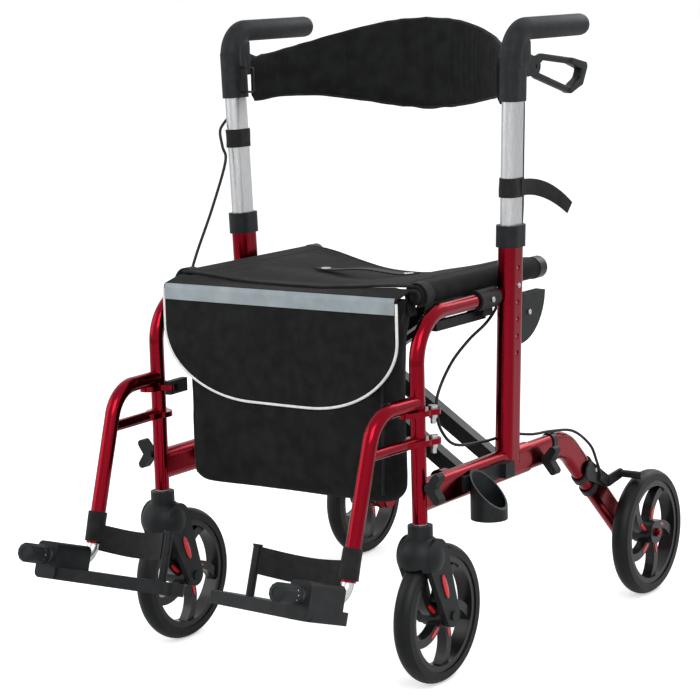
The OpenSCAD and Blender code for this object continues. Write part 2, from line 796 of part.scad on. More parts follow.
module brake_bracket() {
    plate_x = tail_w / 2 + clamp_t * 1.5;
    on_tail() {
        for (start = clamp_starts) translate([0, start, 0]) along_y(clamp_l) difference() {
            oval(tail_w + 2 * clamp_t, tail_h + 2 * clamp_t);
            oval(tail_w, tail_h);
        }
        translate([plate_x, 0, 0]) side_plate(clamp_t)
            round_link([clamp_starts[0] + 6, 0], 15, brake_pivot, 10);
        translate([0, brake_pivot[0], brake_pivot[1]]) {
            bar_x_run(brake_pin_d, plate_x, arm_x + brake_arm_t + 3);
            bar_x_run(brake_pin_d + 5, arm_x + brake_arm_t + pass_gap, arm_x + brake_arm_t + 3);
        }
    }
    translate([track_half, clip_y, rail_z]) along_y(clamp_l) difference() {
        oval(tail_w + 4, tail_h + 4);
        oval(tail_w, tail_h);
    }
}
module brake_bracket_left() { color(grey) brake_bracket(); }
module brake_bracket_right() { color(grey) right_side() brake_bracket(); }

module brake_arm() {
    on_tail() difference() {
        union() {
            translate([arm_x + brake_arm_t / 2, 0, 0]) side_plate(brake_arm_t) {
                round_link(brake_pivot, 9, shoe_spot, 8);
                round_link(brake_pivot, 9, cable_spot, 6);
            }
            translate([0, shoe_spot[0], shoe_spot[1]])
                bar_x_run(shoe_d, arm_x, rear_wheel_offset + tyre_w / 2);
        }
        translate([0, brake_pivot[0], brake_pivot[1]]) bar_x_run(brake_pin_d + 2 * fit, 0, 2 * arm_x);
    }
}
module brake_arm_left() { color(grey) brake_arm(); }
module brake_arm_right() { color(grey) right_side() brake_arm(); }

// Casters and wheels

module caster_fork() {
    reflector_low = [trail * 0.62, wheel_r + 34];
    reflector_high = [trail * 0.35, wheel_r + 62];
    translate([track_half, upright_y, 0]) difference() {
        union() {
            rotate_extrude() {
                translate([0, cap_ring_z - 20]) square([cap_ring_d / 2, cap_ring_h + 20]);
                translate([0, cap_ring_z]) square([stem_d / 2 + 3, upright_foot_z - cap_ring_z - pass_gap]);
                translate([0, cap_ring_z]) square([stem_d / 2, stem_top_z - cap_ring_z]);
                intersection() {
                    translate([0, fork_head_z]) circle(fork_bulge_r);
                    translate([0, fork_head_z - fork_bulge_r / 2]) square([fork_bulge_r, fork_bulge_r * 2]);
                }
            }
            for (side = [-1, 1]) translate([side * (fork_half_gap + leg_t / 2), 0, 0]) {
                side_plate(leg_t)
                    round_link([4, fork_head_z + 2], head_leg_r, [trail, wheel_r], axle_leg_r);
                translate([side * (leg_t / 2 + reflector_t / 2 - 0.5), 0, 0]) side_plate(reflector_t + 1)
                    round_link(reflector_low, 5, reflector_high, 5);
            }
            translate([0, trail, wheel_r])
                bar_x_run(nut_d, -fork_half_gap - leg_t - 3, fork_half_gap + leg_t + 3);
        }
        translate([0, trail, wheel_r])
            bar_x_run(wheel_d + 2 * tyre_gap + 2, -fork_half_gap, fork_half_gap);
    }
    on_front_axle() bar_x_run(axle_d, -fork_half_gap - 2, fork_half_gap + 2);
}
module caster_fork_left() { color(black) caster_fork(); }
module caster_fork_right() { color(black) right_side() caster_fork(); }

// One curved spoke, lying along +X
module spoke_outline(reach) {
    bow_r = reach * 0.7;
    bow = [reach / 2, -sqrt(pow(bow_r, 2) - pow(reach / 2, 2))];
    intersection() {
        translate(bow) difference() {
            circle(bow_r + 6.5);
            circle(bow_r - 6.5);
        }
        translate([0, -10]) square([reach, 50]);
    }
}

module rim() {
    seat_r = wheel_r - tyre_depth;
    rotate([0, 90, 0]) difference() {
        union() {
            rotate_extrude() translate([seat_r - 9, -tyre_w / 2 + 2]) square([9, tyre_w - 4]);
            linear_extrude(tyre_w - 12, center = true)
                for (k = [0 : spoke_count - 1]) rotate(k * 360 / spoke_count) spoke_outline(seat_r - 4);
            cylinder(d = hub_d, h = hub_w, center = true);
        }
        cylinder(d = axle_d + 2 * fit, h = hub_w + 2, center = true);
    }
}

module tyre() {
    seat_r = wheel_r - tyre_depth;
    crown_r = tyre_w * 0.64;
    rotate([0, 90, 0]) rotate_extrude() intersection() {
        translate([wheel_r - crown_r, 0]) circle(crown_r);
        translate([seat_r, -tyre_w / 2]) square([tyre_depth + 1, tyre_w]);
    }
}
module front_rim_left() { color(black) on_front_axle() rim(); }
module front_rim_right() { color(black) right_side() on_front_axle() rim(); }
module front_tyre_left() { color(grey) on_front_axle() tyre(); }
module front_tyre_right() { color(grey) right_side() on_front_axle() tyre(); }
module rear_rim_left() { color(black) on_rear_axle() rim(); }
module rear_rim_right() { color(black) right_side() on_rear_axle() rim(); }
module rear_tyre_left() { color(grey) on_rear_axle() tyre(); }
module rear_tyre_right() { color(grey) right_side() on_rear_axle() tyre(); }

// Footrest

// A collar plate round the upright, with its front lug and its bolt lug
module collar_plate() {
    linear_extrude(plate_t) {
        circle(plate_r);
        round_link([0, 0], plate_r - 3, [0, -24], 13);
        round_link([0, 0], plate_r - 3, bolt_spot, 11);
    }
}

module hanger() {
    leg_foot = [foot_y, foot_z] + (foot_bend + 0.2) * [sin(hanger_slope), cos(hanger_slope)];
    path = [[-6, hanger_z], [-hanger_reach, hanger_z], leg_foot];
    bend_swell = 0.5;
    bend_lap = 2;
    bore_depth = 80;
    strut_end = -hanger_reach - (hanger_z - lower_plate_z - plate_t / 2) * tan(hanger_slope);
    on_hanger() difference() {
        union() {
            straights(path, hanger_bend, bend_lap) circle(d = frame_d);
            bends(path, hanger_bend) circle(d = frame_d + bend_swell);
            translate([0, 0, lower_plate_z + plate_t / 2]) bar_y_run(strut_d, strut_end, -6);
            for (z = [upper_plate_z, lower_plate_z]) translate([0, 0, z]) collar_plate();
            translate([0, 0, upper_plate_z]) linear_extrude(plate_t)
                round_link([0, 0], plate_r - 3, latch_spot, latch_ear_r);
        }
        translate([latch_spot[0], latch_spot[1], upper_plate_z - 1])
            cylinder(d = latch_pin_d + 2 * fit, h = plate_t + 2);
        translate([0, foot_y, foot_z]) rotate([-hanger_slope, 0, 0]) translate([0, 0, foot_bend - 1])
            cylinder(d = hanger_bore, h = bore_depth);
        cylinder(d = frame_d + 2 * slide_fit, h = 2 * hanger_z);
        for (z = [upper_plate_z, lower_plate_z]) translate([bolt_spot[0], bolt_spot[1], z - 1])
            cylinder(d = bolt_d, h = plate_t + 2);
    }
}
module hanger_left() { color(red) hanger(); }
module hanger_right() { color(red) right_side() hanger(); }

module hanger_bolts() {
    on_hanger() for (z = [upper_plate_z, lower_plate_z]) translate([bolt_spot[0], bolt_spot[1], z]) {
        translate([0, 0, plate_t + 4 - bolt_length]) cylinder(d = bolt_d, h = bolt_length);
        translate([0, 0, plate_t]) cylinder(d = bolt_d + 5, h = 4);
        translate([0, 0, -6]) cylinder(d = bolt_d + 5, h = 6, $fn = 6);
    }
}
module hanger_bolts_left() { color(silver) hanger_bolts(); }
module hanger_bolts_right() { color(silver) right_side() hanger_bolts(); }

module hanger_latch() {
    front_y = -12;
    slot_rear_y = 8;
    foot = upper_plate_z - (latch_size[2] - plate_t) / 2;
    on_hanger() {
        difference() {
            translate([-plate_r - pass_gap - latch_size[0], front_y, foot]) linear_extrude(latch_size[2])
                rounded_outline([[3, 3], [latch_size[0] - 3, 3], [latch_size[0] - 3, latch_size[1] - 3],
                                 [3, latch_size[1] - 3]], 3);
            translate([-2 * plate_r, front_y - 1, upper_plate_z - pass_gap])
                cube([2 * plate_r, slot_rear_y - front_y + 1, plate_t + 2 * pass_gap]);
        }
        translate([latch_spot[0], latch_spot[1], foot]) cylinder(d = latch_pin_d, h = latch_size[2]);
    }
}
module hanger_latch_left() { color(black) hanger_latch(); }
module hanger_latch_right() { color(black) right_side() hanger_latch(); }

module foot_tube() {
    on_foot() {
        difference() {
            union() {
                bent_run([[0, foot_bend + 45], [0, 0], [-foot_tube_length, 0]], foot_bend)
                    circle(d = foot_tube_d);
                bar_y_run(foot_tube_d + 4, -foot_cap_start, -foot_cap_start + foot_ring);
            }
            bent_run([[0, foot_bend + 46], [0, 0], [-foot_tube_length + 3, 0]], foot_bend)
                circle(d = foot_tube_d - 2 * frame_wall);
        }
        difference() {
            bar_y_run(foot_cap_d, -foot_tube_length - 3, -foot_cap_start - slide_fit);
            bar_y_run(foot_tube_d + 2 * slide_fit, -foot_tube_length - slide_fit, -foot_cap_start + 1);
        }
    }
}
module foot_tube_left() { color(silver) foot_tube(); }
module foot_tube_right() { color(silver) right_side() foot_tube(); }

module heel_strap() {
    band_start = [-frame_d / 2 - 1, 0];
    band_end = [strap_post[0] + strap_post_d / 2 + pass_gap, strap_post[1]];
    band_steps = 12;
    line = [for (i = [0 : band_steps]) let (t = i / band_steps)
        band_start + (band_end - band_start) * t + [0, heel_bow * 4 * t * (1 - t)]];
    back = [for (i = [band_steps : -1 : 0]) line[i] - [0, heel_t]];
    on_foot() difference() {
        union() {
            translate([0, 0, heel_low]) cylinder(d = frame_d + 2 * heel_sleeve_t, h = heel_sleeve_h);
            translate([0, 0, heel_band_low]) linear_extrude(heel_band_h) polygon(concat(line, back));
        }
        cylinder(d = frame_d, h = 2 * hanger_leg, center = true);
    }
}
module heel_strap_left() { color(black) heel_strap(); }
module heel_strap_right() { color(black) right_side() heel_strap(); }

module footplate() {
    corner = 12;
    tip_x = -footplate_reach + corner;
    outer_x = block_half - corner;
    tip_setback = 40;
    block_corner = 8;
    on_foot() difference() {
        union() {
            translate([0, 0, footplate_low]) linear_extrude(footplate_t)
                rounded_outline([[outer_x, corner - block_front], [outer_x, -17], [tip_x, -26],
                                 [tip_x, corner + tip_setback - block_front]], corner);
            translate([0, -block_front, 0]) along_y(block_front - block_rear)
                rounded_outline([[-block_half + block_corner, footplate_low + block_corner],
                                 [block_half - block_corner, footplate_low + block_corner],
                                 [block_half - block_corner, block_top - block_corner],
                                 [-block_half + block_corner, block_top - block_corner]], block_corner);
            translate([strap_post[0], strap_post[1], footplate_low + 1])
                cylinder(d = strap_post_d, h = strap_post_top - footplate_low - 1);
            translate([strap_post[0], strap_post[1], strap_post_top - post_cap_h])
                cylinder(d = strap_post_d + 2 * post_cap_lip, h = post_cap_h);
        }
        bar_y_run(foot_tube_d + 2 * fit, -2 * block_front, 0);
    }
}
module footplate_left() { color(black) footplate(); }
module footplate_right() { color(black) right_side() footplate(); }

// Wing knobs

// A wing knob on a stem along +X, seated at a distance from the middle of its tube
module wing_knob(seat) {
    neck = [seat + 8, 0];
    neck_r = 7;
    lobe_r = 6;
    lobe = [seat + 20, knob_h / 2 - lobe_r];
    bar_x_run(knob_stem_d, seat - 4, seat + 10);
    bar_x_run(2 * knob_stem_d + 2, seat + knob_base, seat + 10);
    translate([0, -knob_w / 2, 0]) along_y(knob_w) {
        round_link(neck, neck_r, lobe, lobe_r);
        round_link(neck, neck_r, [lobe[0], -lobe[1]], lobe_r);
    }
}
module front_knob() { translate([track_half, upright_y, knob_z]) wing_knob(max(frame_d, rail_w) / 2); }
module rear_knob() { translate([track_half, rear_knob_y, rear_knob_z]) wing_knob(tail_w / 2); }
module front_knob_left() { color(black) front_knob(); }
module front_knob_right() { color(black) right_side() front_knob(); }
module rear_knob_left() { color(black) rear_knob(); }
module rear_knob_right() { color(black) right_side() rear_knob(); }

// Cross brace

// One arm from the lower pivot on +X up to the seat bar on -X
module brace_arm(y) {
    translate([bar_x, y, pivot_z]) rotate([0, arm_angle, 0]) {
        translate([-arm_length, -arm_w / 2, -arm_h / 2]) cube([arm_length, arm_w, arm_h]);
        bar_y_run(arm_h, -arm_w / 2, arm_w / 2);
    }
}

module pivot_tube() {
    translate([bar_x, 0, pivot_z]) bar_y_run(pivot_d, front_lug_y - lug_t - 2, rear_lug_y + 2);
}

// The seat bar on -X, with its end caps
module seat_bar() {
    translate([-bar_x, 0, bar_z]) {
        bar_y_run(bar_d, bar_front_y, bar_rear_y);
        difference() {
            bar_y_run(cap_d, bar_rear_y - cap_grip, bar_rear_y + cap_l);
            bar_y_run(bar_d + 2 * slide_fit, bar_rear_y - cap_grip - 1, bar_rear_y + slide_fit);
        }
    }
}

module cross_pin(from, to) {
    translate([0, 0, cross_z]) {
        bar_y_run(cross_pin_d, from - pin_head_t, to + pin_head_t);
        bar_y_run(pin_head_d, from - pin_head_t, from);
        bar_y_run(pin_head_d, to, to + pin_head_t);
    }
}

module brace_a() {
    inner = arm_w * 1.5 + arm_gap + pass_gap;
    color(black) {
        for (y = [front_arm_y, rear_arm_y]) brace_arm(y);
        pivot_tube();
        seat_bar();
        cross_pin(front_arm_y - arm_w / 2, front_arm_y + inner);
        cross_pin(rear_arm_y - inner, rear_arm_y + arm_w / 2);
    }
}

module brace_b() {
    shift = arm_w + arm_gap;
    color(black) difference() {
        right_side() {
            for (y = [front_arm_y + shift, rear_arm_y - shift]) brace_arm(y);
            pivot_tube();
            seat_bar();
        }
        translate([0, 0, cross_z]) bar_y_run(cross_pin_d + 2 * fit, 2 * front_arm_y, 2 * rear_arm_y);
    }
}

// Seat cloth

function sag(y) = sag_front + (sag_rear - sag_front) * (y - seat_front_y) / (seat_rear_y - seat_front_y);
function cloth_z(x, y) = bar_z + sleeve_r
    - (sag(y) + ripple * sin(360 * y / ripple_length)) * max(0, 1 - pow(x / bar_x, 2));
function wrap(r, side) = [for (a = [-wrap_low : wrap_step : wrap_end])
    [side * (bar_x + r * cos(a)), bar_z + r * sin(a)]];
function flat_run(y, drop) = [for (i = [1 : cloth_steps - 1])
    let (x = bar_x * (2 * i / cloth_steps - 1)) [x, cloth_z(x, y) - drop]];
function backward(list) = [for (i = [len(list) - 1 : -1 : 0]) list[i]];
function cloth_side(y, r, drop) = concat(wrap(r, -1), flat_run(y, drop), backward(wrap(r, 1)));
function placed(outline, y) = [for (p = outline) [p[0], y, p[1]]];

module seat_sling() {
    color(black) loft([for (i = [0 : cloth_rows])
        let (y = seat_front_y + (seat_rear_y - seat_front_y) * i / cloth_rows)
        placed(concat(cloth_side(y, sleeve_r, 0), backward(cloth_side(y, wrap_inner_r, sling_t))), y)]);
}

module pull_strap() {
    steps = 12;
    side = function (y, up) [for (i = [0 : steps])
        let (x = pull_length * (i / steps - 0.5))
        [x, cloth_z(x, y) + pass_gap + up + pull_lift * pow(cos(180 * x / pull_length), 2)]];
    color(black) loft([for (i = [0 : 4]) let (y = pull_y + pull_w * (i / 4 - 0.5))
        placed(concat(side(y, pull_t), backward(side(y, 0))), y)]);
}

// Bag

function bag_loop(half, front, rear, z) = let (r = 24)
    [for (corner = [[1, 1, 0], [-1, 1, 90], [-1, -1, 180], [1, -1, 270]], a = [0, 45, 90])
        [corner[0] * (half - r) + r * cos(corner[2] + a),
         (front + rear) / 2 + corner[1] * ((rear - front) / 2 - r) + r * sin(corner[2] + a), z]];

module bag() {
    rear = bag_front_y + bag_depth;
    color(black) loft([
        bag_loop(bag_bottom_half - 8, bag_front_y + 14, rear - 14, bag_floor_z),
        bag_loop(bag_bottom_half, bag_front_y + 4, rear - 6, bag_floor_z + 12),
        bag_loop(bag_bottom_half + 8, bag_front_y, rear, (bag_floor_z + bag_top_z) / 2),
        bag_loop(bag_top_half, bag_front_y, rear, bag_top_z)]);
}

module bag_flap() {
    knee_z = flap_bottom_z + flap_corner;
    core = flap_half - flap_corner;
    color(black) {
        translate([0, bag_front_y - pass_gap - flap_t, 0]) along_y(flap_t) {
            translate([-flap_half, knee_z]) square([2 * flap_half, flap_top_z - knee_z]);
            translate([-core, flap_bottom_z]) square([2 * core, flap_corner]);
            for (side = [-1, 1]) intersection() {
                translate([side * core, knee_z]) circle(flap_corner);
                translate([-flap_half, flap_bottom_z]) square([2 * flap_half, flap_corner]);
            }
        }
        translate([-flap_half + 8, bag_front_y - pass_gap - 1, flap_top_z - flap_t])
            cube([2 * flap_half - 16, ledge_rear_y - bag_front_y + pass_gap + 1, flap_t]);
    }
}

// Backrest

function back_height(a) = let (s = min(1, abs(a) / back_spread / back_hump))
    back_end_h + (back_mid_h - back_end_h) * (1 + cos(180 * s)) / 2;
function back_level(a) = back_mid_z + (back_end_z - back_mid_z) * pow(abs(a) / back_spread, 2);
function back_loop(a) = let (h = back_height(a) / 2, z = back_level(a))
    [for (p = [[0, 1], [0.7, 0.86], [1, 0.4], [1, -0.4], [0.7, -0.86], [0, -1],
               [-0.3, -1], [-0.7, -0.86], [-1, -0.4], [-1, 0.4], [-0.7, 0.86], [-0.3, 1]])
        let (r = back_r + p[0] * back_t / 2) [r * sin(a), back_centre_y + r * cos(a), z + p[1] * h]];

module backrest() {
    color(black) loft([for (i = [0 : back_rows]) backward(back_loop(back_spread * (2 * i / back_rows - 1)))]);
}

// Cane cup

module cane_cup() {
    slant = atan2(cup_rim_high - cup_rim_low, cup_d);
    bracket_x = track_half + rail_w / 2;
    color(black) difference() {
        union() {
            translate([cup_x, cup_y, cup_floor_z]) cylinder(d = cup_d, h = cup_rim_high);
            translate([bracket_x, cup_y - cup_d / 2, rail_z - cup_bracket_h / 2])
                cube([cup_bracket_t, cup_bracket_l, cup_bracket_h]);
            translate([bracket_x, cup_y - cup_d / 2 + cup_bracket_l - 26, rail_z - cup_bracket_h / 2])
                cube([14, 26, cup_bracket_h]);
        }
        translate([cup_x, cup_y, cup_floor_z + cup_wall]) cylinder(d = cup_d - 2 * cup_wall, h = 2 * cup_rim_high);
        translate([cup_x - cup_d / 2, cup_y - cup_d, cup_floor_z + cup_rim_high])
            rotate([0, slant, 0]) cube([2 * cup_d, 2 * cup_d, 2 * cup_rim_high]);
    }
}

side_frame_left();
side_frame_right();
tail_tube_left();
tail_tube_right();
post_collar_left();
post_collar_right();
rail_saddle_left();
rail_saddle_right();
post_wing_left();
post_wing_right();
handle_tube_left();
handle_tube_right();
snap_button_left();
snap_button_right();
grip_left();
grip_right();
brake_lever_left();
brake_lever_right();
tube_strap_left();
tube_strap_right();
brake_cable_left();
brake_cable_right();
brake_bracket_left();
brake_bracket_right();
brake_arm_left();
brake_arm_right();
caster_fork_left();
caster_fork_right();
front_rim_left();
front_rim_right();
front_tyre_left();
front_tyre_right();
rear_rim_left();
rear_rim_right();
rear_tyre_left();
rear_tyre_right();
hanger_left();
hanger_right();
hanger_bolts_left();
hanger_bolts_right();
hanger_latch_left();
hanger_latch_right();
foot_tube_left();
foot_tube_right();
heel_strap_left();
heel_strap_right();
footplate_left();
footplate_right();
front_knob_left();
front_knob_right();
rear_knob_left();
rear_knob_right();
brace_a();
brace_b();
seat_sling();
pull_strap();
bag();
bag_flap();
backrest();
cane_cup();
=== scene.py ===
# Looks for the rollator transport chair: finishes, cloth, straps, cables, small fittings, light and camera
import math
import bpy
from mathutils import Matrix, Vector, noise


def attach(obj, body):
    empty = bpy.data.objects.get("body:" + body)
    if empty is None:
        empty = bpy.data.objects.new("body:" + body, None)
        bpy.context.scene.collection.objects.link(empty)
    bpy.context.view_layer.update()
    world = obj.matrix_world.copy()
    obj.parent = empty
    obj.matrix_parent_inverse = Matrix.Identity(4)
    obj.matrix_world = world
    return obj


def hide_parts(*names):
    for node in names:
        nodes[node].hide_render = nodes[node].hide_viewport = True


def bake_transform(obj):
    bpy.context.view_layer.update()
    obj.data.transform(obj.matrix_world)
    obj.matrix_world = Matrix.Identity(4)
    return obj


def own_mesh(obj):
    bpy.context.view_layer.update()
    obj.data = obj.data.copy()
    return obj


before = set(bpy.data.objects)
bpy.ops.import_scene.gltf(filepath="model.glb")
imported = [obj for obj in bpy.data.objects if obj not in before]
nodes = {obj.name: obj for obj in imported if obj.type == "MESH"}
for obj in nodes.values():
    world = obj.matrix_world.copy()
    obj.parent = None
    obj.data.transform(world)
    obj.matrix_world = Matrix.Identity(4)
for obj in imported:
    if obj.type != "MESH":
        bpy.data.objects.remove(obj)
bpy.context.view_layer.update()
print("frame loaded,", len(nodes), "nodes")


# small helpers for working as by hand
mergeGap = 0.00001  # points nearer than this are one
smoothAngle = math.radians(40)
bothSides = (("left", 1), ("right", -1))


def clearSelection():
    if bpy.context.object and bpy.context.object.mode != "OBJECT":
        bpy.ops.object.mode_set(mode="OBJECT")
    bpy.ops.object.select_all(action="DESELECT")


def pick(obj):
    clearSelection()
    obj.select_set(True)
    bpy.context.view_layer.objects.active = obj


def applyModifier(obj, kind, **settings):
    pick(obj)
    mod = obj.modifiers.new(kind.lower(), kind)
    for key, value in settings.items():
        setattr(mod, key, value)
    bpy.ops.object.modifier_apply(modifier=mod.name)


def tidyFaces(obj):
    pick(obj)
    bpy.ops.object.mode_set(mode="EDIT")
    bpy.ops.mesh.select_all(action="SELECT")
    bpy.ops.mesh.remove_doubles(threshold=mergeGap)
    bpy.ops.mesh.normals_make_consistent(inside=False)
    bpy.ops.object.mode_set(mode="OBJECT")


def thicken(obj, thickness, offset=0):
    applyModifier(obj, "SOLIDIFY", thickness=thickness, offset=offset)
    tidyFaces(obj)


def joinPieces(name, pieces):
    clearSelection()
    for obj in pieces:
        obj.select_set(True)
    bpy.context.view_layer.objects.active = pieces[0]
    bpy.ops.object.join()
    whole = bpy.context.object
    whole.name = whole.data.name = name
    return whole


def placeMesh(obj, matrix):
    obj.data.transform(matrix)
    obj.data.update()
    return obj


def gridPiece(name, columns, rows, place):
    # a flat grid whose points are laid on their places
    clearSelection()
    bpy.ops.mesh.primitive_grid_add(x_subdivisions=columns, y_subdivisions=rows, size=1)
    obj = bpy.context.object
    obj.name = obj.data.name = name
    for v in obj.data.vertices:
        v.co = Vector(place(v.co.x + 0.5, v.co.y + 0.5))
    obj.data.update()
    return obj


def tubeAlong(name, points, radius, closed=False, roundness=3):
    # a round cord through points, turned into a mesh
    clearSelection()
    line = bpy.data.curves.new(name, "CURVE")
    line.dimensions = "3D"
    line.bevel_depth = radius
    line.bevel_resolution = roundness
    line.use_fill_caps = True
    spline = line.splines.new("POLY")
    spline.points.add(len(points) - 1)
    for spot, p in zip(spline.points, points):
        spot.co = (*p, 1)
    spline.use_cyclic_u = closed
    obj = bpy.data.objects.new(name, line)
    bpy.context.scene.collection.objects.link(obj)
    pick(obj)
    bpy.ops.object.convert(target="MESH")
    tidyFaces(obj)
    return obj


def smoothLine(points, steps):
    # a curve that passes through every point
    line = []
    last = len(points) - 1
    for i in range(last):
        a, b = Vector(points[max(i - 1, 0)]), Vector(points[i])
        c, d = Vector(points[i + 1]), Vector(points[min(i + 2, last)])
        for s in range(steps):
            t = s / steps
            line.append(0.5 * (2 * b + (c - a) * t + (2 * a - 5 * b + 4 * c - d) * t * t
                               + (3 * b - a - 3 * c + d) * t ** 3))
    line.append(Vector(points[last]))
    return line


def mirrored(p):
    return (-p[0], p[1], p[2])


def onSide(p, sign):
    return p if sign > 0 else mirrored(p)


def share(t):
    return min(1, max(0, t))


def ripple(x, y, z):
    return noise.noise(Vector((x, y, z)))


def finishPiece(obj, material, body=None):
    obj.data.materials.clear()
    obj.data.materials.append(material)
    pick(obj)
    bpy.ops.object.shade_smooth_by_angle(angle=smoothAngle)
    if body:
        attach(obj, body)
    return obj


# finishes: tint between two colours, roughness between two values, and bumps
plainLook = dict(metal=0, coat=0, coatRough=0.1, sheen=0, sheenRough=0.5, specular=0.22, stretch=(1, 1, 1),
                 turn=(0, 0, 0), tintEdges=(0.35, 0.65), tintDetail=4, wearScale=9, wearEdges=(0.3, 0.7),
                 wearDetail=5, grainDetail=3)
plainSockets = {"Metallic": "metal", "Coat Weight": "coat", "Coat Roughness": "coatRough", "Sheen Weight": "sheen",
                "Sheen Roughness": "sheenRough", "Specular IOR Level": "specular"}


def makeFinish(name, ownLook):
    look = {**plainLook, **ownLook}
    mat = bpy.data.materials.new(name)
    mat.use_nodes = True
    tree = mat.node_tree
    add, link = tree.nodes.new, tree.links.new
    shader = tree.nodes["Principled BSDF"]
    for socket, key in plainSockets.items():
        shader.inputs[socket].default_value = look[key]
    coords = add("ShaderNodeTexCoord")
    mapping = add("ShaderNodeMapping")
    mapping.inputs["Scale"].default_value = look["stretch"]
    link(coords.outputs["Object"], mapping.inputs["Vector"])
    tintNoise = add("ShaderNodeTexNoise")
    tintNoise.inputs["Scale"].default_value = look["tintScale"]
    tintNoise.inputs["Detail"].default_value = look["tintDetail"]
    link(mapping.outputs["Vector"], tintNoise.inputs["Vector"])
    ramp = add("ShaderNodeValToRGB")
    for stop, edge, tint in zip(ramp.color_ramp.elements, look["tintEdges"], (look["dark"], look["light"])):
        stop.position = edge
        stop.color = (*tint, 1)
    link(tintNoise.outputs["Fac"], ramp.inputs["Fac"])
    link(ramp.outputs["Color"], shader.inputs["Base Color"])
    wearNoise = add("ShaderNodeTexNoise")
    wearNoise.inputs["Scale"].default_value = look["wearScale"]
    wearNoise.inputs["Detail"].default_value = look["wearDetail"]
    link(mapping.outputs["Vector"], wearNoise.inputs["Vector"])
    span = add("ShaderNodeMapRange")
    for socket, value in zip(("From Min", "From Max", "To Min", "To Max"), look["wearEdges"] + look["rough"]):
        span.inputs[socket].default_value = value
    link(wearNoise.outputs["Fac"], span.inputs["Value"])
    link(span.outputs["Result"], shader.inputs["Roughness"])
    below = None
    for kind, scale, strength, depth in look["bumps"]:
        turn = add("ShaderNodeMapping")
        turn.inputs["Rotation"].default_value = look["turn"]
        link(coords.outputs["Object"], turn.inputs["Vector"])
        if kind == "weave":
            texture = add("ShaderNodeTexChecker")
        elif kind == "ribs":
            texture = add("ShaderNodeTexWave")
            texture.bands_direction = "Z"
        elif kind == "pebble":
            texture = add("ShaderNodeTexVoronoi")
        else:
            texture = add("ShaderNodeTexNoise")
            texture.inputs["Detail"].default_value = look["grainDetail"]
        texture.inputs["Scale"].default_value = scale
        link(turn.outputs["Vector"], texture.inputs["Vector"])
        bump = add("ShaderNodeBump")
        bump.inputs["Strength"].default_value = strength
        bump.inputs["Distance"].default_value = depth
        link(texture.outputs["Distance" if kind == "pebble" else "Fac"], bump.inputs["Height"])
        if below:
            link(below.outputs["Normal"], bump.inputs["Normal"])
        below = bump
    link(below.outputs["Normal"], shader.inputs["Normal"])
    return mat


